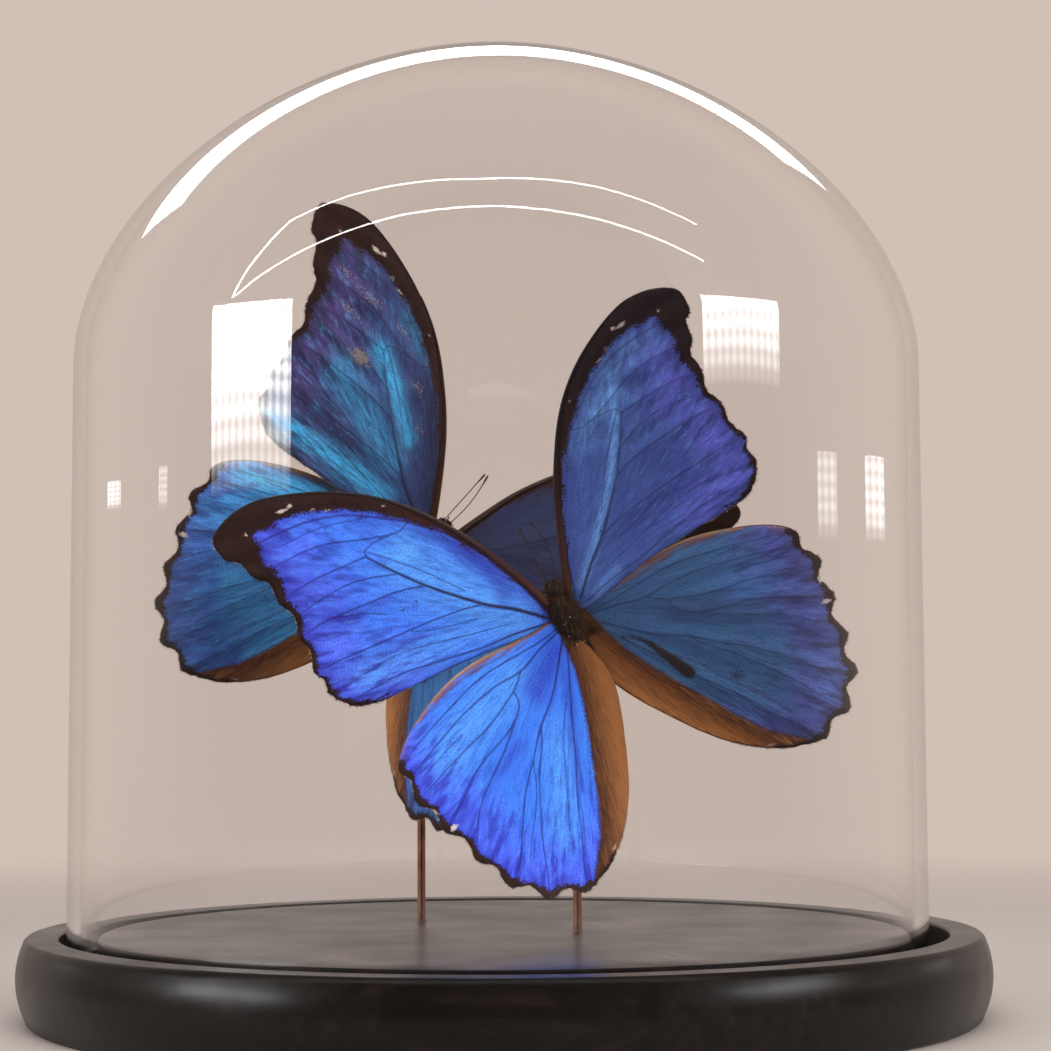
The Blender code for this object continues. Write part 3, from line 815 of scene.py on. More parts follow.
def membrane(edge, veins):
    """Flat points and triangles that fill the edge, with mesh edges along every vein."""
    vein_lines = []
    for vein in veins:
        line, _ = smooth_line(vein[3], 0.9)
        keep = inside(line, edge) & (near_line(line, np.vstack([edge, edge[:1]]))[0] > 0.3)
        vein_lines.append(line[keep])
    low, high = edge.min(0), edge.max(0)
    rows = np.arange(low[1], high[1], GRID * 0.866)
    grid = np.array([(x + (row % 2) * GRID / 2, y)
                     for row, y in enumerate(rows) for x in np.arange(low[0], high[0], GRID)])
    grid = grid[inside(grid, edge)]
    beside = []
    for line in vein_lines:
        ahead = np.gradient(line, axis=0)
        aside = np.stack([-ahead[:, 1], ahead[:, 0]], 1) / (np.linalg.norm(ahead, axis=1)[:, None] + 1e-9)
        beside += [line + aside * BESIDE_VEIN, line - aside * BESIDE_VEIN]
    beside = np.vstack(beside)
    for line in vein_lines:
        grid = grid[near_line(grid, line)[0] > CLEAR_OF_VEIN]
        beside = beside[near_line(beside, line)[0] > 0.2]
    grid = np.vstack([grid, beside])
    grid = grid[inside(grid, edge)]
    grid = grid[near_line(grid, np.vstack([edge, edge[:1]]))[0] > CLEAR_OF_EDGE]
    flat = [*edge, *grid]
    links = []
    for line in vein_lines:
        links += [(len(flat) + k, len(flat) + k + 1) for k in range(len(line) - 1)]
        flat += list(line)
    made = geometry.delaunay_2d_cdt([Vector(p) for p in flat], links, [list(range(len(edge)))], 1, 1e-5)
    return np.array([(p.x, p.y) for p in made[0]]), [tuple(face) for face in made[2]]


print("membrane points", GRID, "mm apart")

# %% [markdown]
# ## Wing markings, worked out from the shape
# The black border follows the front edge and the outer edge, and its width in millimetres is given at a few
# places along them. Distances inside each marking are stored with the mesh: the finishes turn them into
# colour and fray them with noise. The hindwing also has a tan front strip, which the forewing covers in
# flight, and a brown flap that folds beside the abdomen.

# %% Marking widths
FOREWING_FRONT_BAND = ((0, 1.0), (12, 1.2), (22, 1.6), (33, 2.8), (42, 3.5), (52, 3.6), (61, 4.6),
                       (70, 6.8), (80, 9.5))                          # x, width
FOREWING_EDGE_BAND = ((-6, 1.0), (5, 0.8), (13, 1.0), (19, 1.4), (24, 2.0), (30, 3.0), (35, 4.8), (42, 8.2))
# the last fleck, at the wing tip, is a painted highlight; the others are the wing's own pale flecks
FOREWING_FLECKS_AND_GLINT = ((63.4, 41.7, 1.5, 0.55), (61.2, 42.4, 0.7, 0.5), (38.2, 36.2, 1.7, 0.28),
                   (52.5, 39.0, 1.3, 0.35), (56.0, 39.9, 1.0, 0.35), (72.0, 39.0, 0.6, 0.45))
HINDWING_FRONT_STRIP = ((3, 0.1), (10, 0.3), (16, 1.3), (24, 1.9), (32, 1.0), (42, 0.5), (52, 0.3),
                        (60, 0.1))
HINDWING_FLECKS = ((58.6, -8.6, 0.5, 1.2), (57.6, -17.6, 0.4, 1.0), (56.6, -22.8, 1.3, 0.7),
                   (55.4, -34.6, 0.4, 0.8), (52.0, -44.0, 0.6, 0.6), (26.0, -51.4, 1.2, 0.4))
HINDWING_BLACK = 0.85        # width of the black along the hindwing's outer edge
VEIN_END_BLACK = 1.6         # extra black round each point of the hindwing's edge
NOWHERE = -9.0               # depth in mm inside a marking that a wing doesn't have


def fleck_field(flat, flecks):
    """How deep each point lies inside a fleck, in mm; flecks are (x, y, half length, half height)."""
    depth = np.full(len(flat), NOWHERE)
    for x, y, long, high in flecks:
        scaled = np.hypot((flat[:, 0] - x) / long, (flat[:, 1] - y) / high)
        depth = np.maximum(depth, (1.0 - scaled) * min(long, high))
    return depth


def wing_fields(kind, flat, edge, stretch, veins):
    """Every marking's distance for the points of a flat wing."""
    x, y = flat[:, 0], flat[:, 1]
    front_line = edge[stretch <= FRONT_END]
    outer_line = edge[(stretch >= FRONT_END) & (stretch <= OUTER_END)]
    front, _, _ = near_line(flat, front_line)
    outer, _, _ = near_line(flat, outer_line)
    vein = np.full(len(flat), 9.0)
    proud = np.full(len(flat), 9.0)
    for start_width, end_width, stands, points in veins:
        gap, along, _ = near_line(flat, smooth_line(points, 0.9)[0])
        vein = np.minimum(vein, gap - (start_width + (end_width - start_width) * along) * 0.8)
        if stands:
            proud = np.minimum(proud, gap)
    root = flat[np.argmin(x + np.abs(y))]
    reach = np.linalg.norm(flat - root, axis=1)
    fields = {"vein_mm": vein, "outer_mm": outer, "front_mm": front, "reach_mm": reach, "x_mm": x, "y_mm": y}
    fields["ray_mm"] = np.arctan2(y - root[1], x - root[0] + 3.0) * 26.0
    if kind == "forewing":
        band = np.interp(x, *zip(*FOREWING_FRONT_BAND)) - front
        rim = np.interp(y, *zip(*FOREWING_EDGE_BAND)) - outer
        fields["border_mm"] = np.maximum(band, rim)
        fields["fleck_mm"] = fleck_field(flat, FOREWING_FLECKS_AND_GLINT)
        fields["flap_mm"] = np.full(len(flat), NOWHERE)
        fields["strip_mm"] = np.full(len(flat), NOWHERE)
    else:
        ends = np.array([HINDWING_OUTLINE[k] for k in range(6, 13)])
        to_end = np.linalg.norm(flat[:, None] - ends[None], axis=2).min(1)
        width = HINDWING_BLACK + VEIN_END_BLACK * np.exp(-(to_end / 2.8) ** 2)
        width = width * np.clip((x - 19.0) / 9.0, 0.3, 1.0)
        fields["border_mm"] = width - outer
        fields["fleck_mm"] = fleck_field(flat, HINDWING_FLECKS)
        gap, _, hand = near_line(flat, smooth_line(FLAP_LINE, 0.9)[0])
        fields["flap_mm"] = -gap * hand
        fields["strip_mm"] = np.interp(x, *zip(*HINDWING_FRONT_STRIP)) - front
    return fields, proud


print("markings: front band up to", FOREWING_FRONT_BAND[-1][1], "mm deep at the wing tip")

# %% [markdown]
# ## Colour of each wing
# The blue isn't a dye: stacked layers in the scales reflect it, so a wing turned one way is bright azure
# and its neighbour, at another angle, is violet, teal or almost slate. A material can't know which way a
# real scale would flash, so the flash is painted light: each wing is given the ground colour that its angle
# to the light shows, bright on the wings turned to the light and dark on those turned away, a second colour
# towards the outer edge, and a few streaks, each a line in the wing's own millimetres with a width. Glow
# streaks are painted highlights; shade streaks are painted shade and shadow over the wing's own darker
# scales.

# %% Wing colour plans
# painted light: ground and outer colours as each wing's angle to the light shows them; glow streaks are
# painted highlights, shade streaks painted shade
WING_COLOURS_AND_PAINTED_LIGHT = {   # ground, outer, glow, shade, then streaks: (kind, strength, half width, points)
    "front_forewing_left": ("#4C88FF", "#5E76FF", "#62AEFF", "#332EA6", [
        ("glow", 0.9, 7.0, [(10, 2), (24, 12), (36, 24)]), ("glow", 0.6, 4.0, [(20, 2), (50, 0)]),
        ("shade", 0.75, 2.2, [(12, 8), (15, 14), (22, 22)]), ("shade", 0.8, 2.4, [(50, 14.6), (60, 16.4)]),
        ("shade", 0.6, 2.5, [(64, 36.5), (70, 33)]), ("shade", 0.5, 3.0, [(58, 26), (64, 24)])]),
    "front_forewing_right": ("#5672B4", "#7272D8", "#86C2FF", "#424C92", [
        ("glow", 0.9, 1.0, [(4, 1), (14, 6.4), (26, 13.5), (38, 22), (46, 29)]),
        ("glow", 0.85, 2.4, [(41, 30), (48, 31.5)]), ("glow", 0.45, 3.2, [(30, 27), (50, 35), (66, 36)]),
        ("glow", 0.7, 1.1, [(6, -2.2), (14, -1.4)]), ("shade", 0.7, 7.0, [(24, 4), (44, 8)])]),
    "front_hindwing_left": ("#4288F8", "#5470FC", "#5EAAFF", "#2F2EB0", [
        ("glow", 0.8, 6.0, [(20, -6), (36, -8), (46, -10)]), ("glow", 0.7, 5.0, [(20, -24), (34, -40)]),
        ("shade", 0.9, 4.0, [(6, -8), (12, -10), (17, -12)]), ("shade", 0.55, 2.5, [(30, -19), (40, -20)]),
        ("shade", 0.6, 3.0, [(50, -24), (56, -22)]), ("shade", 0.7, 1.6, [(8, -14), (24, -36)])]),
    "front_hindwing_right": ("#456E92", "#5A60A6", "#5C86CE", "#3E3E68", [
        ("glow", 0.5, 4.0, [(40, -12), (46, -13)]), ("glow", 0.6, 2.6, [(44, -46), (52, -38), (56, -28)]),
        ("shade", 0.6, 3.0, [(22, -12), (36, -17), (50, -21)]),
        ("shade", 0.6, 3.0, [(28, -46), (38, -52)])]),
    "rear_forewing_left": ("#435080", "#564478", "#4CBCEC", "#2A2E48", [
        ("glow", 1.0, 2.0, [(24, 15), (36, 21.5), (46, 26)]),
        ("glow", 0.9, 3.0, [(18, 1), (36, 0), (54, -3)]),
        ("glow", 0.5, 4.0, [(24, 9), (50, 16)]), ("glow", 0.5, 2.4, [(34, 33), (46, 36)]),
        ("shade", 0.9, 6.0, [(8, 8), (20, 20), (28, 26)]), ("shade", 0.5, 3.0, [(34, 5), (56, 6)])]),
    "rear_forewing_right": ("#3A4468", "#2C4652", "#4A6CC0", "#383450", [
        ("shade", 0.9, 9.0, [(6, 2), (30, 6)]), ("glow", 0.5, 1.2, [(8, 10), (22, 24)])]),
    "rear_hindwing_left": ("#4993C7", "#527ED6", "#57CDFF", "#3D5796", [
        ("glow", 0.9, 3.0, [(28, -2), (52, -4)]), ("glow", 0.6, 3.0, [(20, -36), (24, -44)]),
        ("glow", 0.4, 4.0, [(44, -12), (54, -14)]), ("shade", 0.7, 6.0, [(34, -44), (50, -36)])]),
    "rear_hindwing_right": ("#3E82BF", "#4468BB", "#4AB2FA", "#2F4277", [
        ("glow", 0.7, 4.0, [(30, -40), (44, -46)])]),
}
WORN_PATCHES = {   # places where the blue scales have rubbed off: (x, y, half length, half height)
    "rear_forewing_left": ((48.6, 21.4, 3.4, 1.9), (32, 25.5, 3.2, 0.8), (45, 32.6, 3, 0.7),
                           (56, 33, 4, 0.9), (65, 33.4, 2.6, 0.8), (58, 27.5, 3.6, 0.8),
                           (24, 18.6, 1.4, 0.7)),
    "front_forewing_left": ((35, 12.4, 1.6, 1.0), (38, 12, 1.2, 0.9), (53, 30.2, 1.4, 0.5),
                            (53.6, 34.6, 0.7, 0.7)),
    "front_forewing_right": ((18.5, 7.9, 1.3, 0.8), (70, 37, 2, 1)),
    "front_hindwing_right": ((43.6, -3.2, 0.9, 0.7), (42.6, -7.8, 1.4, 0.9), (22.4, -27.4, 1.3, 0.9),
                             (27.8, -32.4, 2.4, 1.6), (52, -12.4, 1.6, 0.7)),
    "rear_hindwing_left": ((42, -7, 2, 0.8), (30, -30, 1.6, 1.0)),
}
SCENT_BAR = [(6.9, -13.0), (11.0, -15.6), (14.0, -20.5), (17.2, -27.0)]    # dark bar on the right hindwings


def colour_fields(which_wing, flat):
    """Glow, shade, worn and bar amounts for the points of one wing."""
    amounts = {"glow": np.zeros(len(flat)), "shade": np.zeros(len(flat))}
    for kind, strength, half_width, points in WING_COLOURS_AND_PAINTED_LIGHT[which_wing][4]:
        gap, _, _ = near_line(flat, smooth_line(points, 1.0)[0])
        soft = strength * np.exp(-(gap / half_width) ** 2)
        amounts[kind] = np.maximum(amounts[kind], soft)
    amounts["worn"] = np.clip(fleck_field(flat, WORN_PATCHES.get(which_wing, ())) + 0.8, 0.0, 2.0)
    bar = np.full(len(flat), NOWHERE)
    if which_wing.endswith("hindwing_right"):
        gap, along, _ = near_line(flat, smooth_line(SCENT_BAR, 0.8)[0])
        bar = (0.35 + 1.5 * along ** 1.5) - gap
    amounts["bar_mm"] = bar
    return amounts


print("wing colour plans:", len(WING_COLOURS_AND_PAINTED_LIGHT))

# %% [markdown]
# ### Finish: blue scales on a dry wing
# The scales stand in rows like roof slates, about 0.1 mm apart, which is too fine to render, so the rows
# are drawn three times as coarse. They throw back light like foil more than like paint: the blue is given
# partly as metal, with a soft roughness. Black border scales are matt and not metallic. Colour is laid on
# in the order it lies on a wing: ground and streaks painted with the light and shade of the flashing blue,
# painted gleams, fine rays, veins, worn scales, brown flap with painted light, tan strip with a painted
# highlight on its edge, border, flecks with one painted highlight.

# %% Fields and noises of the blue side
# the two wings painted as turned to the light; their veins are drawn stronger and stouter
BRIGHT_WINGS = ("front_forewing_left", "front_hindwing_left")
SCALE_ROW_MM = 0.33          # rows of scales, three times as coarse as real ones
# painted light on the flaps: the flap that faces the light keeps about its colour, and the rest, turned from
# it, are painted lighter and warmer
LIT_FLAP = {"front_hindwing_left": 0.95}    # the flap that faces the light; the rest are drawn lighter
OTHER_FLAPS_PAINTED_LIGHTER = 1.85
PAINTED_LIGHT_WARMTH = (1.0, 0.89, 0.80)
STORED = ("vein_mm", "outer_mm", "front_mm", "reach_mm", "x_mm", "y_mm", "ray_mm", "border_mm", "fleck_mm",
          "flap_mm", "strip_mm", "glow", "shade", "worn", "bar_mm")


def wing_sources(tree):
    """What the layers of colour share: the numbers stored with the mesh, and noises in the wing's own mm."""
    field = {name: add(tree, "Attribute", attribute_name=name).outputs["Fac"] for name in STORED}
    flat = add(tree, "CombineXYZ", {0: field["x_mm"], 1: field["y_mm"]}).outputs[0]
    rays = add(tree, "CombineXYZ", {0: field["ray_mm"], 1: field["reach_mm"]}).outputs[0]
    ray_map = add(tree, "Mapping", {"Vector": rays, "Scale": (2.2, 0.20, 1.0)}).outputs[0]
    stroke_map = add(tree, "Mapping", {"Vector": rays, "Scale": (1.1, 0.12, 1.0)}).outputs[0]
    for name, vector, settings in (
            ("fine", ray_map, {"Scale": 1.0, "Detail": 5.0, "Roughness": 0.65}),     # rays 0.5 mm wide
            ("stroke", stroke_map, {"Scale": 1.0, "Detail": 3.0}),                   # feathered strokes, 1 mm
            ("grit", flat, {"Scale": 2.6, "Detail": 3.0, "Roughness": 0.7}),         # tufts of scales, 0.4 mm
            ("cloud", flat, {"Scale": 0.16, "Detail": 3.0}),                         # patches, 6 mm
            ("speck", flat, {"Scale": 1.5, "Detail": 2.0}),                          # specks, 0.7 mm
            ("chips", flat, {"Scale": 1.9, "Detail": 2.0, "Roughness": 0.6})):       # rubbed spots, 0.5 mm
        field[name] = add(tree, "TexNoise", {"Vector": vector, **settings}).outputs[0]
    field["fray"] = add(tree, "Math", {0: field["speck"], 1: 0.5}, operation="SUBTRACT").outputs[0]
    torn = add(tree, "Math", {0: field["stroke"], 1: field["grit"]}, operation="ADD").outputs[0]
    field["torn"] = add(tree, "Math", {0: torn, 1: 1.0}, operation="SUBTRACT").outputs[0]
    return field


print("numbers stored with each wing:", len(STORED))

# %% Blue ground, streaks and rays
def blue_ground(tree, field, which_wing):
    """Ground colour turning to the outer one, with streaks of painted highlight and shade, feathered strokes,
    painted gleams and grain.
    """
    ground, outer_colour, glow_colour, shade_colour, _ = WING_COLOURS_AND_PAINTED_LIGHT[which_wing]
    outward = add(tree, "MapRange", {"Value": field["outer_mm"], "From Min": 20.0, "From Max": 2.0},
                  interpolation_type="SMOOTHSTEP").outputs[0]
    patchy = add(tree, "Math", {0: field["cloud"], 1: 1.1, 2: -0.55}, operation="MULTIPLY_ADD").outputs[0]
    mixed = add(tree, "Math", {0: outward, 1: patchy}, operation="ADD", use_clamp=True).outputs[0]
    colour = add(tree, "Mix", {0: mixed, 6: linear(ground), 7: linear(outer_colour)},
                 data_type="RGBA").outputs[2]
    # painted light: glow streaks are painted highlights, shade streaks painted shade, each broken up by a
    # noise
    for amount, hue, pattern, least in (("glow", glow_colour, "fine", 0.65),
                                        ("shade", shade_colour, "grit", 0.15)):
        broken = add(tree, "MapRange", {"Value": field[pattern], "From Min": 0.40, "From Max": 0.60,
                                        "To Min": least, "To Max": 1.25}).outputs[0]
        share = add(tree, "Math", {0: field[amount], 1: broken}, operation="MULTIPLY",
                    use_clamp=True).outputs[0]
        colour = add(tree, "Mix", {0: share, 6: colour, 7: linear(hue)}, data_type="RGBA").outputs[2]
    edgeward = add(tree, "MapRange", {"Value": field["outer_mm"], "From Min": 26.0, "From Max": 3.0,
                                      "To Min": 0.22, "To Max": 0.85}).outputs[0]
    feather = add(tree, "MapRange", {"Value": field["stroke"], "From Min": 0.48, "From Max": 0.62}).outputs[0]
    # painted highlights: pale strokes in the glow colour towards the outer edge
    painted_gleam = add(tree, "MapRange", {"Value": field["fine"], "From Min": 0.54, "From Max": 0.68,
                                   "To Max": 0.6}).outputs[0]
    for strokes, hue in ((feather, shade_colour), (painted_gleam, glow_colour)):
        share = add(tree, "Math", {0: strokes, 1: edgeward}, operation="MULTIPLY").outputs[0]
        colour = add(tree, "Mix", {0: share, 6: colour, 7: linear(hue)}, data_type="RGBA").outputs[2]
    for strength, pattern, stops in ((0.6, "fine", ((0.28, "#8A8AAE"), (0.5, "#F4F4FF"), (0.75, "#FFFFFF"))),
                                     (0.8, "grit", ((0.34, "#9696BE"), (0.52, "#FFFFFF")))):
        tone = add(tree, "ValToRGB", {"Fac": field[pattern]}, stops=stops).outputs[0]
        colour = add(tree, "Mix", {0: strength, 6: colour, 7: tone}, data_type="RGBA",
                     blend_type="MULTIPLY").outputs[2]
    return colour


# %% Veins, worn scales, scent bar
def worn_and_veined(tree, field, which_wing, colour):
    """Dark veins and dots, places rubbed bare, a dark verge beside the border, and the scent bar."""
    shade_colour = WING_COLOURS_AND_PAINTED_LIGHT[which_wing][3]
    vein_tone, vein_strength = ("#1A1668", 0.72) if which_wing in BRIGHT_WINGS else ("#23233F", 0.5)
    line = add(tree, "Math", {0: field["fray"], 1: 0.25, 2: field["vein_mm"]},
               operation="MULTIPLY_ADD").outputs[0]
    vein = add(tree, "MapRange", {"Value": line, "From Min": 0.20, "From Max": -0.08,
                                  "To Max": vein_strength}, interpolation_type="SMOOTHSTEP").outputs[0]
    colour = add(tree, "Mix", {0: vein, 6: colour, 7: linear(vein_tone)}, data_type="RGBA").outputs[2]
    dots = add(tree, "MapRange", {"Value": field["speck"], "From Min": 0.66, "From Max": 0.72,
                                  "To Max": 0.6}).outputs[0]
    colour = add(tree, "Mix", {0: dots, 6: colour, 7: linear("#1B1A55")}, data_type="RGBA").outputs[2]
    bare = add(tree, "Math", {0: field["worn"], 1: 0.16, 2: field["chips"]},
               operation="MULTIPLY_ADD").outputs[0]
    bare = add(tree, "MapRange", {"Value": bare, "From Min": 0.70, "From Max": 0.75,
                                  "To Max": 0.75}).outputs[0]
    bare_tone = "#8C7A66" if which_wing == "rear_forewing_left" else "#2A2344"
    colour = add(tree, "Mix", {0: bare, 6: colour, 7: linear(bare_tone)}, data_type="RGBA").outputs[2]
    verge = add(tree, "MapRange", {"Value": field["border_mm"], "From Min": -3.2, "From Max": 0.2,
                                   "To Max": 1.3}).outputs[0]
    verge = add(tree, "Math", {0: verge, 1: field["stroke"]}, operation="MULTIPLY", use_clamp=True).outputs[0]
    colour = add(tree, "Mix", {0: verge, 6: colour, 7: linear(shade_colour)}, data_type="RGBA").outputs[2]
    bar_edge = add(tree, "Math", {0: field["fray"], 1: 1.2, 2: field["bar_mm"]},
                   operation="MULTIPLY_ADD").outputs[0]
    bar = add(tree, "MapRange", {"Value": bar_edge, "From Min": -0.3, "From Max": 0.4}).outputs[0]
    colour = add(tree, "Mix", {0: bar, 6: colour, 7: linear("#2A211C")}, data_type="RGBA").outputs[2]
    return colour, bare


# %% Brown flap and tan strip
def flap_and_strip(tree, field, which_wing, colour):
    """The hindwing's brown flap, with painted light and fold shade, and its tan strip with a painted
    highlight.
    """
    flap_edge = add(tree, "Math", {0: field["fray"], 1: 1.6, 2: field["flap_mm"]},
                    operation="MULTIPLY_ADD").outputs[0]
    flap = add(tree, "MapRange", {"Value": flap_edge, "From Min": -0.4, "From Max": 0.7}).outputs[0]
    # painted shade: the flap is darker along its fold line and lighter further in
    deep = add(tree, "MapRange", {"Value": field["flap_mm"], "From Max": 9.0, "To Min": -0.25,
                                  "To Max": 0.35}).outputs[0]
    flap_tone = add(tree, "Math", {0: field["fine"], 1: deep}, operation="ADD").outputs[0]
    flap_colour = add(tree, "ValToRGB", {"Fac": flap_tone}, stops=(
        (0.18, "#27140B"), (0.38, "#50301B"), (0.60, "#744B2B"), (0.85, "#8F6038"))).outputs[0]
    # painted light: each flap's brown is multiplied by its share of painted light, in a warm tint
    lit = [share * LIT_FLAP.get(which_wing, OTHER_FLAPS_PAINTED_LIGHTER) for share in PAINTED_LIGHT_WARMTH]
    flap_colour = add(tree, "Mix", {0: 1.0, 6: flap_colour, 7: (*lit, 1.0)},
                      data_type="RGBA", blend_type="MULTIPLY").outputs[2]
    colour = add(tree, "Mix", {0: flap, 6: colour, 7: flap_colour}, data_type="RGBA").outputs[2]
    strip_edge = add(tree, "Math", {0: field["torn"], 1: 7.0, 2: field["strip_mm"]},
                     operation="MULTIPLY_ADD").outputs[0]
    strip = add(tree, "MapRange", {"Value": strip_edge, "From Min": -0.5, "From Max": 0.9,
                                   "To Max": 0.9}).outputs[0]
    # painted highlight: the pale tan at the very front edge is light on the rolled edge, over the strip's own
    # tan
    strip_and_highlight_colour = add(tree, "ValToRGB", {"Fac": add(tree, "MapRange", {
        "Value": field["front_mm"], "From Max": 3.2}).outputs[0]}, stops=(
        (0.0, "#A87C52"), (0.2, "#7A4E34"), (0.5, "#583628"), (1.0, "#40303C"))).outputs[0]
    colour = add(tree, "Mix", {0: strip, 6: colour, 7: strip_and_highlight_colour}, data_type="RGBA").outputs[2]
    return colour, flap, strip


# %% Dark border and pale flecks
def border_and_flecks(tree, field, colour):
    """The border, brown at the root and near black at the tip, with its few pale flecks, one of the
    forewing's a painted highlight.
    """
    border_edge = add(tree, "Math", {0: field["fray"], 1: 2.4, 2: field["border_mm"]},
                      operation="MULTIPLY_ADD").outputs[0]
    border_edge = add(tree, "Math", {0: field["torn"], 1: 3.2, 2: border_edge},
                      operation="MULTIPLY_ADD").outputs[0]
    border = add(tree, "MapRange", {"Value": border_edge, "From Min": -0.35, "From Max": 0.25},
                 interpolation_type="SMOOTHSTEP").outputs[0]
    border_colour = add(tree, "ValToRGB", {"Fac": add(tree, "MapRange", {
        "Value": field["reach_mm"], "From Max": 60.0}).outputs[0]}, stops=(
        (0.0, "#4A2813"), (0.35, "#36190C"), (0.65, "#2A110A"), (1.0, "#220D08"))).outputs[0]
    colour = add(tree, "Mix", {0: border, 6: colour, 7: border_colour}, data_type="RGBA").outputs[2]
    fleck_edge = add(tree, "Math", {0: field["fray"], 1: 0.8, 2: field["fleck_mm"]},
                     operation="MULTIPLY_ADD").outputs[0]
    fleck = add(tree, "MapRange", {"Value": fleck_edge, "From Min": -0.08, "From Max": 0.22,
                                   "To Max": 0.85}).outputs[0]
    colour = add(tree, "Mix", {0: fleck, 6: colour, 7: linear("#D9C8BA")}, data_type="RGBA").outputs[2]
    return colour, border


# %% Blue upper side finish
def blue_scales(which_wing):
    """The upper side of one wing."""
    made, tree, shader = new_finish("blue_scales_" + which_wing)
    field = wing_sources(tree)
    colour = blue_ground(tree, field, which_wing)
    colour, bare = worn_and_veined(tree, field, which_wing, colour)
    colour, flap, strip = flap_and_strip(tree, field, which_wing, colour)
    colour, border = border_and_flecks(tree, field, colour)
    tree.links.new(colour, shader.inputs["Base Color"])
    shader.inputs["Specular IOR Level"].default_value = 0.3
    dull = border
    for matt in (flap, strip, bare):
        dull = add(tree, "Math", {0: dull, 1: matt}, operation="MAXIMUM").outputs[0]
    foil = add(tree, "MapRange", {"Value": dull, "To Min": 0.12, "To Max": 0.0}).outputs[0]
    rough = add(tree, "MapRange", {"Value": dull, "To Min": 0.44, "To Max": 0.62}).outputs[0]
    tree.links.new(foil, shader.inputs["Metallic"])
    tree.links.new(rough, shader.inputs["Roughness"])
    rows = add(tree, "Math", {0: field["reach_mm"], 1: math.tau / SCALE_ROW_MM},
               operation="MULTIPLY").outputs[0]
    rows = add(tree, "Math", {0: rows}, operation="SINE").outputs[0]
    height = add(tree, "Math", {0: rows, 1: 0.12, 2: field["fine"]}, operation="MULTIPLY_ADD").outputs[0]
    bump = add(tree, "Bump", {"Height": height, "Strength": 0.6, "Distance": 0.0005})
    tree.links.new(bump.outputs[0], shader.inputs["Normal"])
    return made


blue = {name: blue_scales(name) for name in WING_COLOURS_AND_PAINTED_LIGHT}
print("blue finishes:", len(blue), "with", len(blue["rear_hindwing_right"].node_tree.nodes), "nodes each")

# %% [markdown]
# ### Finish: brown underside with eye spots
# From behind and below, a morpho is a different insect: bronze brown with pale bands along the edge and a
# row of eye spots, black with a white pupil and a yellow ring. The distance to the nearest eye spot is
# stored as a share of its size, and one colour ramp turns it into the rings.

# %% Underside finish
EYE_SPOTS = {   # x, y, radius
    "forewing": ((60.5, 30.0, 2.6), (56.5, 21.5, 3.8), (54.0, 9.8, 3.2)),
    "hindwing": ((46.0, -6.6, 4.6), (48.5, -17.5, 2.8), (45.5, -25.5, 3.4), (43.0, -33.5, 4.2),
                 (36.5, -41.0, 3.6)),
}
PALE_BANDS = {
    "forewing": ((1.1, [(34, 30), (40, 24), (46, 14), (48, 2)]), (0.7, [(20, 22), (24, 12)])),
    "hindwing": ((1.2, [(30, 1), (27, -12), (20, -24), (12, -33)]), (0.6, [(14, -3), (11, -12)])),
}


def underside_fields(kind, flat):
    """Eye spot and pale band distances for the points of a flat wing."""
    eye = np.full(len(flat), 9.0)
    for x, y, radius in EYE_SPOTS[kind]:
        eye = np.minimum(eye, np.hypot(flat[:, 0] - x, (flat[:, 1] - y) * 0.85) / radius)
    band = np.full(len(flat), NOWHERE)
    for half_width, points in PALE_BANDS[kind]:
        band = np.maximum(band, half_width - near_line(flat, smooth_line(points, 1.0)[0])[0])
    return {"eye": eye, "band_mm": band}


brown_scales, tree, shader = new_finish("bronze_brown_scales_underside")
field = {name: add(tree, "Attribute", attribute_name=name).outputs["Fac"] for name in (
    "eye", "band_mm", "outer_mm", "reach_mm", "ray_mm", "x_mm", "y_mm", "vein_mm")}
rays = add(tree, "CombineXYZ", {0: field["ray_mm"], 1: field["reach_mm"]}).outputs[0]
ray_map = add(tree, "Mapping", {"Vector": rays, "Scale": (1.2, 0.2, 1.0)}).outputs[0]
fine = add(tree, "TexNoise", {"Vector": ray_map, "Scale": 1.0, "Detail": 4.0}).outputs[0]
flat_spot = add(tree, "CombineXYZ", {0: field["x_mm"], 1: field["y_mm"]}).outputs[0]
speck = add(tree, "TexNoise", {"Vector": flat_spot, "Scale": 1.4, "Detail": 2.0}).outputs[0]
fray = add(tree, "Math", {0: speck, 1: 0.5}, operation="SUBTRACT").outputs[0]
colour = add(tree, "ValToRGB", {"Fac": fine}, stops=(
    (0.25, "#3B291D"), (0.5, "#5C4330"), (0.75, "#7A5C42"))).outputs[0]
edge_lines = add(tree, "ValToRGB", {"Fac": add(tree, "MapRange", {
    "Value": field["outer_mm"], "From Max": 8.0}).outputs[0]}, stops=(
    (0.0, "#2A1D15"), (0.20, "#2A1D15"), (0.26, "#B79A6E"), (0.32, "#4A3322"), (0.50, "#4A3322"),
    (0.56, "#A98A62"), (0.62, "#5C4330"), (1.0, "#5C4330"))).outputs[0]
near_edge = add(tree, "MapRange", {"Value": field["outer_mm"], "From Min": 6.4, "From Max": 5.2,
                                   "To Max": 0.8}).outputs[0]
colour = add(tree, "Mix", {0: near_edge, 6: colour, 7: edge_lines}, data_type="RGBA").outputs[2]
band_edge = add(tree, "Math", {0: fray, 1: 1.6, 2: field["band_mm"]}, operation="MULTIPLY_ADD").outputs[0]
band = add(tree, "MapRange", {"Value": band_edge, "From Min": -0.4, "From Max": 0.3,
                              "To Max": 0.7}).outputs[0]
colour = add(tree, "Mix", {0: band, 6: colour, 7: linear("#B89F7C")}, data_type="RGBA").outputs[2]
eye_edge = add(tree, "Math", {0: fray, 1: 0.12, 2: field["eye"]}, operation="MULTIPLY_ADD").outputs[0]
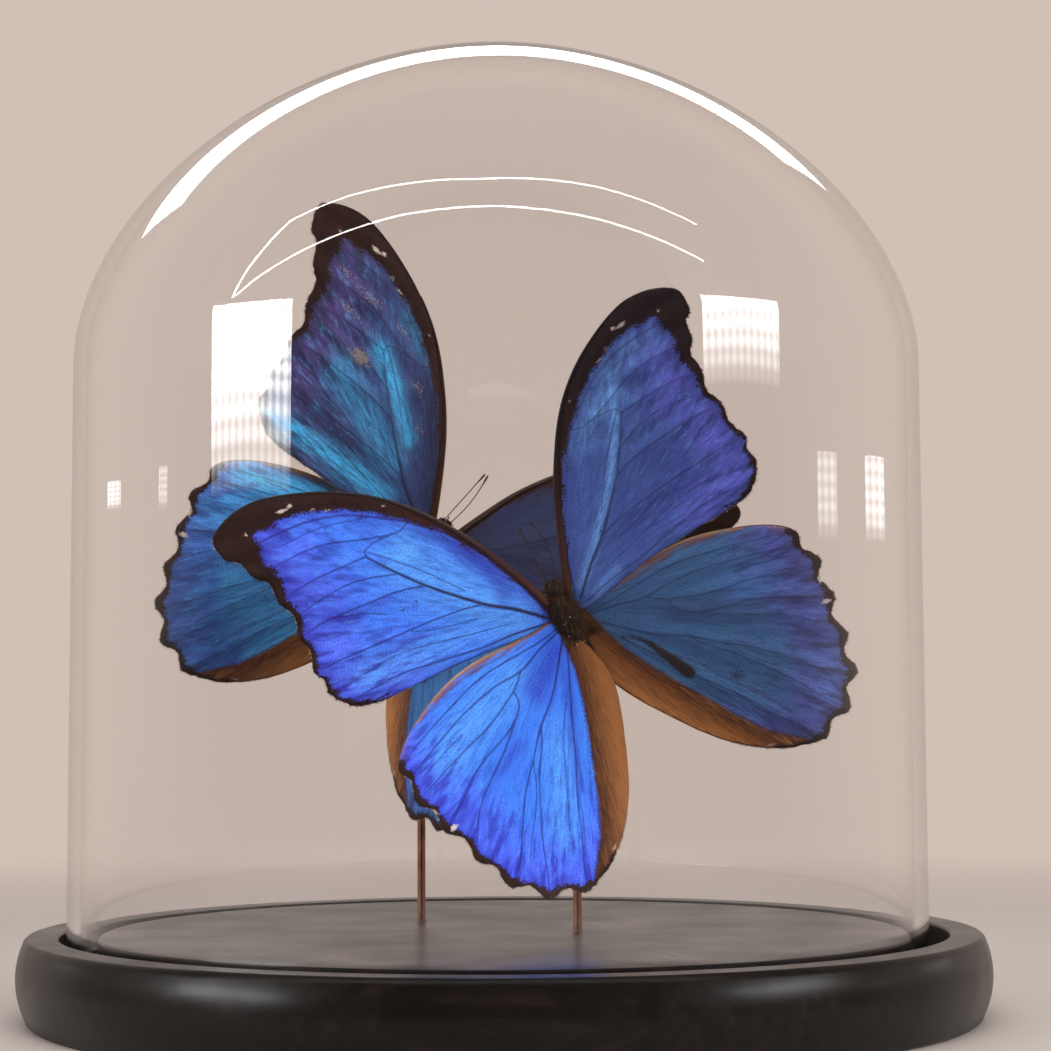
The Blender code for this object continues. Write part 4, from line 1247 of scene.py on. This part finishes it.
eye_rings = add(tree, "ValToRGB", {"Fac": add(tree, "MapRange", {
    "Value": eye_edge, "From Max": 1.25}).outputs[0]}, stops=(
    (0.0, "#E9E2D0"), (0.10, "#E9E2D0"), (0.15, "#15100D"), (0.42, "#15100D"), (0.47, "#C79A45"),
    (0.62, "#C79A45"), (0.68, "#3A2517"), (1.0, "#4A3322"))).outputs[0]
in_eye = add(tree, "MapRange", {"Value": eye_edge, "From Min": 1.2, "From Max": 1.0}).outputs[0]
colour = add(tree, "Mix", {0: in_eye, 6: colour, 7: eye_rings}, data_type="RGBA").outputs[2]
vein = add(tree, "MapRange", {"Value": field["vein_mm"], "From Min": 0.35, "From Max": 0.05,
                              "To Max": 0.6}).outputs[0]
colour = add(tree, "Mix", {0: vein, 6: colour, 7: linear("#2E1F15")}, data_type="RGBA").outputs[2]
tree.links.new(colour, shader.inputs["Base Color"])
shader.inputs["Roughness"].default_value = 0.6
bump = add(tree, "Bump", {"Height": fine, "Strength": 0.3, "Distance": 0.0002})
tree.links.new(bump.outputs[0], shader.inputs["Normal"])
print("eye spots:", {kind: len(spots) for kind, spots in EYE_SPOTS.items()})

# %% [markdown]
# ### Finish: veins, fringe and hair
# Veins are thin tubes of chitin, the horny stuff of beetle shells: dark brown, with the dull shine of horn.
# The fringe along the edge and the hair on the body are the same stuff as fibres. Hair varies from strand
# to strand, so each strand carries a tone from 0 to 1 that a ramp turns into dark, brown and tan. The
# rolled front edge of a wing uses such a ramp along its length: near black on a forewing, tan on a
# hindwing, with a pale stretch in its middle that is a painted highlight. A few pale balls, 0.2 mm across,
# sit on the body as painted glints, where light catches the hair.

# %% Chitin and hair finishes
def horn_finish(name, dark, light, scale, roughness):
    """Chitin whose tone wanders between two colours, with scale giving its patches per metre."""
    made, tree, shader = new_finish(name)
    spot = add(tree, "TexCoord").outputs["Object"]
    cloud = add(tree, "TexNoise", {"Vector": spot, "Scale": scale, "Detail": 3.0}).outputs[0]
    tone = add(tree, "ValToRGB", {"Fac": cloud}, stops=((0.35, dark), (0.68, light))).outputs[0]
    tree.links.new(tone, shader.inputs["Base Color"])
    bump = add(tree, "Bump", {"Height": cloud, "Strength": 0.4, "Distance": 0.0001})
    tree.links.new(bump.outputs[0], shader.inputs["Normal"])
    shader.inputs["Roughness"].default_value = roughness
    return made


def hair_finish(name, stops, roughness=0.62):
    """Horn or hair that takes its tone from a ramp, by the number stored with each point."""
    made, tree, shader = new_finish(name)
    tone = add(tree, "Attribute", attribute_name="tone").outputs["Fac"]
    ramp = add(tree, "ValToRGB", {"Fac": tone}, stops=stops).outputs[0]
    tree.links.new(ramp, shader.inputs["Base Color"])
    shader.inputs["Roughness"].default_value = roughness
    return made


vein_chitin = horn_finish("dark_vein_chitin", "#0E0A1C", "#231726", 900.0, 0.5)
edge_chitin = hair_finish("brown_leading_edge_chitin", ((0.0, "#3C1F0F"), (0.3, "#2A130A"), (0.55, "#170B07"),
                                                        (1.0, "#0F0806")), roughness=0.4)
# painted highlight: the pale middle of this ramp is light caught by the rolled edge; the tan round it is the
# edge's own
rolled_edge_and_highlight = hair_finish("tan_rolled_hindwing_edge_painted_highlight", ((0.0, "#4A2C1A"), (0.25, "#7A5434"), (0.55, "#B08A60"),
                                                       (0.8, "#6A4830"), (1.0, "#1F110A")))
body_chitin = horn_finish("black_brown_body_chitin", "#140C07", "#38241A", 700.0, 0.5)
eye_chitin = horn_finish("dull_dried_compound_eye", "#0C0705", "#2E1A10", 5000.0, 0.3)
body_hair = hair_finish("brown_body_hair", ((0.0, "#170D07"), (0.45, "#33200F"), (0.8, "#6A4A2C"),
                                            (1.0, "#A98A66")))
azure_hair = hair_finish("azure_wing_root_hair", ((0.0, "#16335C"), (0.5, "#2E7CC4"), (1.0, "#62B8F0")))
fringe_hair = hair_finish("black_and_cream_fringe", ((0.0, "#120C09"), (0.6, "#2A1B12"), (0.8, "#8A6A4C"),
                                                     (1.0, "#D8C4A8")))
pale_glint_finish = horn_finish("pale_painted_glints", "#C9B9A4", "#F0E8DC", 3000.0, 0.35)
print("horn and hair finishes made")

# %% [markdown]
# ## Build a wing
# The membrane gets a little life: it sags between the veins by half a millimetre, and a slow wave runs
# through it, as in any dried wing. Upper and under side are two sheets joined round the edge, so the piece
# is closed. Veins are tubes laid through it, with a stouter one along the front edge, and a fringe of short
# scales stands along the outer edge.

# %% Wing relief
SAG = 0.50                   # how far the membrane sinks between veins
SAG_DISTANCE = 2.4           # how far from a vein the sag is well under way
STIFF_ROOT = 18.0            # the first stretch from the root sags less
WAVE, WAVES_PER_MM = 0.55, 0.055       # height and spacing of the slow wave towards the outer edge,
FLUTES, FLUTES_PER_MM = 0.26, 0.22     # and of the finer flutes on top of it
WING_REACH = 60.0            # distance from the root at which the wave is full
FLAP_CURL, FLAP_WIDTH = 0.9, 9.0       # how far the flap's edge curls down, over what width


def relief_of(flat, proud, reach, flap, seed):
    """Height in mm of the membrane at each point."""
    sag = -SAG * (1.0 - np.exp(-(proud / SAG_DISTANCE) ** 2)) * np.clip(reach / STIFF_ROOT, 0.0, 1.0)
    wave, flutes = (np.array([noise.noise(Vector((x * per_mm, y * per_mm, place))) for x, y in flat])
                    for per_mm, place in ((WAVES_PER_MM, seed), (FLUTES_PER_MM, seed + 7.0)))
    rise = np.clip(reach / WING_REACH, 0.0, 1.0)
    curl = -FLAP_CURL * np.clip(flap / FLAP_WIDTH, 0.0, 1.0) ** 2
    return sag + (wave * WAVE + flutes * FLUTES) * rise + curl


def rim_faces(triangles, count):
    """Faces that join the upper and the under sheet along every open edge of the triangles."""
    seen = {}
    for face in triangles:
        for k in range(3):
            pair = (face[k], face[(k + 1) % 3])
            seen[frozenset(pair)] = None if frozenset(pair) in seen else pair
    return [(b, a, count + a, count + b) for a, b in (pair for pair in seen.values() if pair)]


print("membrane sags", SAG, "mm between the veins")

# %% Fringe of the outer edge
FRINGE_HAIRS = 620
FRINGE_ROOT = 0.15           # how far inside the edge a fringe scale is rooted


def fringe(edge, stretch, seed):
    """Flat roots and tips, lengths and tones of the fringe; it is pale in the notches, as fresh wings are."""
    dice = np.random.default_rng(int(abs(seed) * 100))
    on_margin = (stretch >= FRONT_END) & (stretch <= FRINGE_END)
    margin = edge[on_margin]
    ahead = np.gradient(margin, axis=0)
    outward = np.stack([-ahead[:, 1], ahead[:, 0]], 1) / np.linalg.norm(ahead, axis=1)[:, None]
    picks = dice.uniform(0, len(margin) - 1.001, FRINGE_HAIRS)
    low = picks.astype(int)
    share = (picks - low)[:, None]
    roots = margin[low] * (1 - share) + margin[low + 1] * share - outward[low] * FRINGE_ROOT
    tips = roots + outward[low] + dice.normal(0.0, 0.35, (FRINGE_HAIRS, 2))
    lengths = dice.uniform(0.35, 0.8, FRINGE_HAIRS)
    notch = 1.0 - np.sin(math.pi * (stretch[on_margin][low] % 1.0))
    tones = np.where(notch < 0.35, dice.uniform(0.5, 1.0, FRINGE_HAIRS), dice.uniform(0.0, 0.5, FRINGE_HAIRS))
    return roots, tips, lengths, tones


print("fringe:", FRINGE_HAIRS, "scales on each wing")

# %% Put a wing together
DRAWINGS = {
    "forewing": (FOREWING_OUTLINE, FOREWING_VEINS, FOREWING_POINTS, FOREWING_SCALLOP),
    "hindwing": (HINDWING_OUTLINE, HINDWING_VEINS, HINDWING_POINTS, HINDWING_SCALLOP),
}
FRONT_EDGES = {   # radius at the root, radius at the tip, finish
    "forewing": (1.05, 0.20, edge_chitin),
    "hindwing": (0.30, 0.14, rolled_edge_and_highlight),
}
FRONT_EDGE_SIDES = 10
TUBE_VEIN_WIDTH = 0.23       # veins wider than this at the root are tubes, and the rest are only coloured
BRIGHT_VEIN_FULLNESS, VEIN_FULLNESS = 0.45, 0.32     # radius of a vein's tube as a share of its width


def build_wing(which, wing):
    """One wing, from its drawing to a piece that rides on the frame."""
    name = f"{which}_{wing}"
    kind, hand = wing.split("_")
    side = SIDES[hand]
    _, _, _, camber, span, chord = BUTTERFLIES[which][wing]
    seed = 11.0 * len(wing) + 3.0 * side + (17.0 if which == "front" else 0.0)
    outline, veins, stretches, scallop = DRAWINGS[kind]
    edge, stretch = scalloped(outline, stretches, scallop, seed)
    flat, triangles = membrane(edge, veins)
    fields, proud = wing_fields(kind, flat, edge, stretch, veins)
    fields.update(colour_fields(name, flat))
    fields.update(underside_fields(kind, flat))
    height = relief_of(flat, proud, fields["reach_mm"], fields["flap_mm"], seed)

    def lift(points, heights):
        """Points of the flat drawing at their place in the wing, in mm."""
        x, y = points[:, 0] * span, points[:, 1] * chord
        bend = camber * (x ** 2 + y ** 2) * MM + WING_MIDDLE
        return np.stack([x * side, y, bend + heights], 1)

    def height_near(points):
        """Height of the membrane's nearest point to each given point."""
        return height[((points[:, None] - flat[None]) ** 2).sum(2).argmin(1)]

    count = len(flat)
    top = [tuple(face) for face in triangles]
    under = [tuple(count + k for k in face[::-1]) for face in triangles]
    rim = rim_faces(triangles, count)
    sheets = np.vstack([lift(flat, height + MEMBRANE / 2), lift(flat, height - MEMBRANE / 2)])
    sheet_faces = top + under + rim
    if side < 0:
        sheet_faces = [face[::-1] for face in sheet_faces]
    sheet_marks = [0] * len(top) + [1] * len(under) + [0] * len(rim)
    parts = [(sheets, sheet_faces, 0)]

    for start_width, end_width, stands, points in veins:
        if stands and start_width > TUBE_VEIN_WIDTH:
            line, _ = smooth_line(points, 1.6)
            line = line[inside(line, edge)]
            along = np.linspace(0.0, 1.0, len(line))
            fullness = BRIGHT_VEIN_FULLNESS if name in BRIGHT_WINGS else VEIN_FULLNESS
            radii = (start_width + (end_width - start_width) * along) * fullness
            radii[0] *= 0.3
            parts.append((*tube(lift(line, height_near(line)), radii, 6), 2))
    front_line = edge[stretch <= FRONT_END][::3]
    along = np.linspace(0.0, 1.0, len(front_line))
    root_radius, tip_radius, front_edge_finish = FRONT_EDGES[kind]
    radii = tip_radius + (root_radius - tip_radius) * (1.0 - along) ** 1.6
    radii[0] *= 0.6
    radii[-1] *= 0.5
    front_edge_start = sum(len(part[0]) for part in parts)
    parts.append((*tube(lift(front_line, height_near(front_line)), radii, FRONT_EDGE_SIDES), 3))

    roots, tips, lengths, hair_tones = fringe(edge, stretch, seed)
    root_heights = height_near(roots)
    start, end = lift(roots, root_heights), lift(tips, root_heights)
    parts.append((*strands(start, end - start, lengths, 0.07, (0.0, 0.0, 0.0)), 4))

    points, faces, marks = join_parts(parts)
    marks[:len(sheet_marks)] = sheet_marks
    matrix = wing_matrix(BUTTERFLIES[which], wing)
    finishes = [blue[name], brown_scales, vein_chitin, front_edge_finish, fringe_hair]
    piece = place_mesh(name, np.array([matrix @ Vector(point) for point in points]), faces, finishes, marks)
    rest = np.zeros(len(points) - 2 * count)
    keep_values(piece, **{field: np.concatenate([v, v, rest]) for field, v in fields.items()})
    tones = np.concatenate([np.zeros(len(points) - STRAND_POINTS * FRINGE_HAIRS),
                            np.repeat(hair_tones, STRAND_POINTS)])
    front_edge_end = front_edge_start + FRONT_EDGE_SIDES * len(front_line)
    tones[front_edge_start:front_edge_end] = np.repeat(along, FRONT_EDGE_SIDES)
    keep_values(piece, tone=tones)
    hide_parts(f"butterfly_{which}_{wing}")
    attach(piece, "root")
    return piece


print("front edges up to", FRONT_EDGES["forewing"][0], "mm in radius")

# %% All eight wings
for which in BUTTERFLIES:
    for wing in ("hindwing_left", "hindwing_right", "forewing_left", "forewing_right"):
        piece = build_wing(which, wing)
        low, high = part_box(f"butterfly_{which}_{wing}")
        drawn = np.array([v.co[:] for v in piece.data.vertices])
        spread = np.abs(np.concatenate([drawn.min(0) - low, drawn.max(0) - high])).max() / MM
        print(piece.name, len(piece.data.polygons), "faces, corners within", round(float(spread), 1), "mm")

# %% [markdown]
# ## Bodies
# The body is a chain of three parts: a small round head with large eyes, a stout furry thorax that held the
# flight muscles, and an abdomen that has dried short and thin. Sections along the body are joined into one
# skin, then hair, eyes, palps, coiled tongue, folded legs and antennae are set on it.

# %% Body skin
BODY_SECTIONS = [   # forward of the wing hinges, half width, half height, height of centre
    (-15.6, 0.7, 0.6, -1.4), (-14.2, 1.6, 1.5, -1.3), (-11.5, 2.1, 2.0, -1.1), (-8.8, 2.0, 1.9, -0.9),
    (-7.0, 2.6, 2.7, -0.7), (-4.0, 3.2, 3.6, -0.5), (-0.5, 3.3, 3.9, -0.4), (2.6, 2.6, 3.1, -0.3),
    (3.8, 1.5, 1.7, 0.0), (4.6, 1.7, 1.7, 0.1), (5.6, 1.9, 1.7, 0.2), (6.5, 1.5, 1.2, 0.3),
    (7.0, 0.6, 0.5, 0.3),
]
BODY_SIDES = 36


def body_skin(seed):
    """Points, faces, outward directions and section places of the body, in its own mm."""
    sections, _ = smooth_line(BODY_SECTIONS, 0.35)
    points, outward, faces = [], [], []
    for forward, wide, tall, centre in sections:
        for step in range(BODY_SIDES):
            turn = math.tau * step / BODY_SIDES
            rough = noise.noise(Vector((forward * 0.9, math.cos(turn) * 2, math.sin(turn) * 2 + seed))) * 0.18
            rings = 0.06 * math.sin(forward * 3.6) if forward < -7.5 else 0.0
            size = 0.94 + rough / max(wide, 1.0) + rings
            points.append((wide * size * math.cos(turn), forward, centre + tall * size * math.sin(turn)))
            outward.append((math.cos(turn), 0.0, math.sin(turn)))
    for row in range(len(sections) - 1):
        for step in range(BODY_SIDES):
            after = (step + 1) % BODY_SIDES
            a, b = row * BODY_SIDES + step, row * BODY_SIDES + after
            faces.append((a, a + BODY_SIDES, b + BODY_SIDES, b))
    faces.append(tuple(range(BODY_SIDES)))
    faces.append(tuple(range((len(sections) - 1) * BODY_SIDES, len(sections) * BODY_SIDES))[::-1])
    return np.array(points), faces, np.array(outward)


def ball(centre, radii, rows=14, sides=20):
    """Points and faces of an ellipsoid."""
    points = [(centre[0], centre[1], centre[2] + radii[2])]
    for row in range(1, rows):
        tilt = math.pi * row / rows
        for step in range(sides):
            turn = math.tau * step / sides
            points.append((centre[0] + radii[0] * math.sin(tilt) * math.cos(turn),
                           centre[1] + radii[1] * math.sin(tilt) * math.sin(turn),
                           centre[2] + radii[2] * math.cos(tilt)))
    points.append((centre[0], centre[1], centre[2] - radii[2]))
    last = len(points) - 1
    faces = []
    for step in range(sides):
        after = (step + 1) % sides
        faces.append((0, 1 + step, 1 + after))
        faces.append((last, last - sides + after, last - sides + step))
        for row in range(rows - 2):
            a, b = 1 + row * sides + step, 1 + row * sides + after
            faces.append((a, a + sides, b + sides, b))
    return points, faces


skin_points, skin_faces, skin_outward = body_skin(0.0)
print("body skin:", len(skin_faces), "faces")

# %% [markdown]
# ### Legs, palps and tongue
# The four walking legs dry folded against the chest, thigh back and shin forward. The palps are two short
# furry feelers that point forward from the face, and between them the tongue is rolled up like a watch
# spring. The pale specks on the thorax are painted glints, each a small pale ball pressed into the hair.

# %% Head and leg parts
TONGUE_TURNS, TONGUE_POINTS = 2.6, 90
GLINT_SPECKS = 9


def limbs():
    """Legs, palps and tongue as (points, faces, finish) parts in the body's mm."""
    made = []
    for side in (-1, 1):
        for front, spread in ((1.6, 1.0), (-1.8, 1.25)):
            hip = (side * 1.5 * spread, front, -3.2)
            knee = (side * 3.0 * spread, front - 3.4, -5.0)
            ankle = (side * 2.4 * spread, front + 1.6, -5.9)
            toe = (side * 1.3 * spread, front - 1.6, -6.7)
            for start, end, thick, thin in ((hip, knee, 0.34, 0.26), (knee, ankle, 0.24, 0.17),
                                            (ankle, toe, 0.15, 0.09)):
                path = np.linspace(start, end, 9)
                path[:, 2] += 0.25 * np.sin(np.linspace(0.0, math.pi, 9))
                made.append((*tube(path, np.linspace(thick, thin, 9), 8), 0))
        palp, _ = smooth_line([(side * 0.55, 6.3, -0.2), (side * 0.65, 7.1, 0.3), (side * 0.66, 7.7, 1.0),
                               (side * 0.6, 8.0, 1.8)], 0.3)
        made.append((*tube(palp, np.linspace(0.5, 0.16, len(palp)), 10), 0))
        made.append((*ball((side * 1.35, 5.5, 0.35), (0.85, 1.05, 1.1)), 1))
    turns = np.linspace(0.0, TONGUE_TURNS * math.tau, TONGUE_POINTS)
    coil_radius = 1.15 - 0.055 * turns
    coil = np.stack([np.zeros(TONGUE_POINTS), 6.6 + coil_radius * np.cos(turns),
                     -1.35 + coil_radius * np.sin(turns)], 1)
    made.append((*tube(coil, np.linspace(0.13, 0.06, TONGUE_POINTS), 6), 0))
    return made


def glint_specks(seed):
    """Painted glints: small pale balls that sit on the thorax."""
    dice = np.random.default_rng(seed)
    grains = []
    for _ in range(GLINT_SPECKS):
        turn = dice.uniform(0.25, 0.75) * math.pi
        forward = dice.uniform(-9.0, -1.0)
        centre = (3.4 * math.cos(turn), forward, -0.4 + 4.6 * math.sin(turn))
        size = dice.uniform(0.07, 0.15)
        grains.append((*ball(centre, (size, size * 1.3, size * 0.8), 6, 8), 2))
    return grains


print("limbs:", len(limbs()), "parts")

# %% [markdown]
# ### Hair
# Hair hides most of a butterfly's body: long and dense on the thorax and at the wing roots, short on the
# head and abdomen. A particle system would be easy to comb, but it doesn't survive an export, so every
# strand is real mesh, three-sided, with one bend. All the strands of a body are one piece.

# %% Hair for one butterfly
THORAX_HAIRS, ABDOMEN_HAIRS, HEAD_HAIRS, ROOT_HAIRS = 4200, 1500, 1100, 420


def comb(count, forward_range, length_range, lean_back, dice):
    """Roots, directions and lengths of hairs scattered over a stretch of the body."""
    rows = np.where((skin_points[:, 1] > forward_range[0]) & (skin_points[:, 1] < forward_range[1]))[0]
    pick = dice.choice(rows, count)
    jitter = dice.normal(0.0, 0.16, (count, 3))
    direction = skin_outward[pick] + np.array((0.0, lean_back, 0.0)) + dice.normal(0.0, 0.28, (count, 3))
    return skin_points[pick] * (0.93, 1.0, 0.93) + jitter, direction, dice.uniform(*length_range, count)


def hair_piece(which):
    """All the body hair of one butterfly, and the tufts at its wing roots."""
    dice = np.random.default_rng(31 if which == "front" else 57)
    groups = [comb(THORAX_HAIRS, (-7.5, 3.4), (1.2, 2.6), -0.9, dice),
              comb(ABDOMEN_HAIRS, (-15.2, -7.0), (0.7, 1.4), -1.3, dice),
              comb(HEAD_HAIRS, (3.4, 6.9), (0.5, 1.2), 0.35, dice)]
    parts, tones, tuft_marks = [], [], []
    for roots, direction, lengths in groups:
        parts.append((*strands(roots, direction, lengths, 0.055, (0.0, -0.5, -0.1)), 0))
        tones.append(np.clip(dice.beta(1.6, 2.6, len(roots)), 0.0, 0.97))
    points, faces, _ = join_parts(parts)
    matrix = body_matrix(BUTTERFLIES[which])
    world = [np.array([matrix @ Vector(p) for p in points])]
    all_faces = list(faces)
    for wing in ("forewing_left", "forewing_right", "hindwing_left", "hindwing_right"):
        side = SIDES[wing.split("_")[1]]
        fore = wing.startswith("fore")
        low, high = ((-1.6, 3.0) if fore else (-9.0, -5.6))
        roots = np.stack([side * dice.uniform(-0.8, 2.2, ROOT_HAIRS), dice.uniform(low, high, ROOT_HAIRS),
                          np.full(ROOT_HAIRS, 0.15)], 1)
        direction = np.stack([side * dice.uniform(0.6, 1.4, ROOT_HAIRS),
                              dice.normal(0.45 if fore else -0.55, 0.35, ROOT_HAIRS),
                              dice.uniform(0.0, 0.25, ROOT_HAIRS)], 1)
        lengths = dice.uniform(0.8, 3.0, ROOT_HAIRS)
        tuft, tuft_faces = strands(roots, direction, lengths, 0.055, (0.0, -0.1, -0.1))
        start = sum(len(block) for block in world)
        matrix_wing = wing_matrix(BUTTERFLIES[which], wing)
        world.append(np.array([matrix_wing @ Vector(p) for p in tuft]))
        all_faces += [tuple(start + k for k in face) for face in tuft_faces]
        tones.append(np.clip(dice.beta(2.0, 2.6, ROOT_HAIRS), 0.0, 0.97))
        tuft_marks += [1 if wing == "forewing_right" else 0] * len(tuft_faces)
    piece = place_mesh(which + "_body_hair", np.concatenate(world), all_faces, [body_hair, azure_hair],
                       [0] * len(faces) + tuft_marks)
    keep_values(piece, tone=np.repeat(np.concatenate(tones), STRAND_POINTS))
    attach(piece, "root")
    return piece


print("hairs on each body:", THORAX_HAIRS + ABDOMEN_HAIRS + HEAD_HAIRS + 4 * ROOT_HAIRS)

# %% Antennae
ANTENNA_RADIUS = 0.12
ANTENNA_CLUB = 2.0
ANTENNA_START = 6.4
ANTENNA_LENGTH = 16.3


def antenna(which, hand):
    """A thread-thin feeler of short rings, ending in a small club."""
    side = SIDES[hand]
    bow, lean = BUTTERFLIES[which]["antenna_" + hand]
    along = np.linspace(0.0, 1.0, 110)
    across = side * (0.8 + bow * np.sin(math.pi * along)) + lean * along
    path = np.stack([across, ANTENNA_START + ANTENNA_LENGTH * along, 0.6 - 0.8 * along ** 2], 1)
    club = np.clip((along - 0.80) / 0.20, 0.0, 1.0)
    radii = ANTENNA_RADIUS * (1.0 + (ANTENNA_CLUB - 1.0) * np.sin(math.pi * 0.62 * club) ** 1.5)
    radii *= 1.0 + 0.10 * np.sin(along * 2 * math.pi * 42)
    points, faces = tube(path, radii, 8)
    matrix = body_matrix(BUTTERFLIES[which])
    piece = place_mesh(f"{which}_antenna_{hand}", [matrix @ Vector(p) for p in points], faces, [body_chitin])
    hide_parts(f"butterfly_{which}_antenna_{hand}")
    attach(piece, "root")


print("antennae:", ANTENNA_LENGTH, "mm long")

# %% Both bodies
for which, plan in BUTTERFLIES.items():
    points, faces, marks = join_parts([(skin_points, skin_faces, 0), *limbs(), *glint_specks(len(which))])
    matrix = body_matrix(plan)
    body = place_mesh(which + "_body", [matrix @ Vector(p) for p in points], faces,
                      [body_chitin, eye_chitin, pale_glint_finish], marks)
    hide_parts(f"butterfly_{which}_body")
    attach(body, "root")
    hair = hair_piece(which)
    for hand in SIDES:
        antenna(which, hand)
    print(which, "body:", len(body.data.polygons), "faces, hair:", len(hair.data.polygons), "faces")
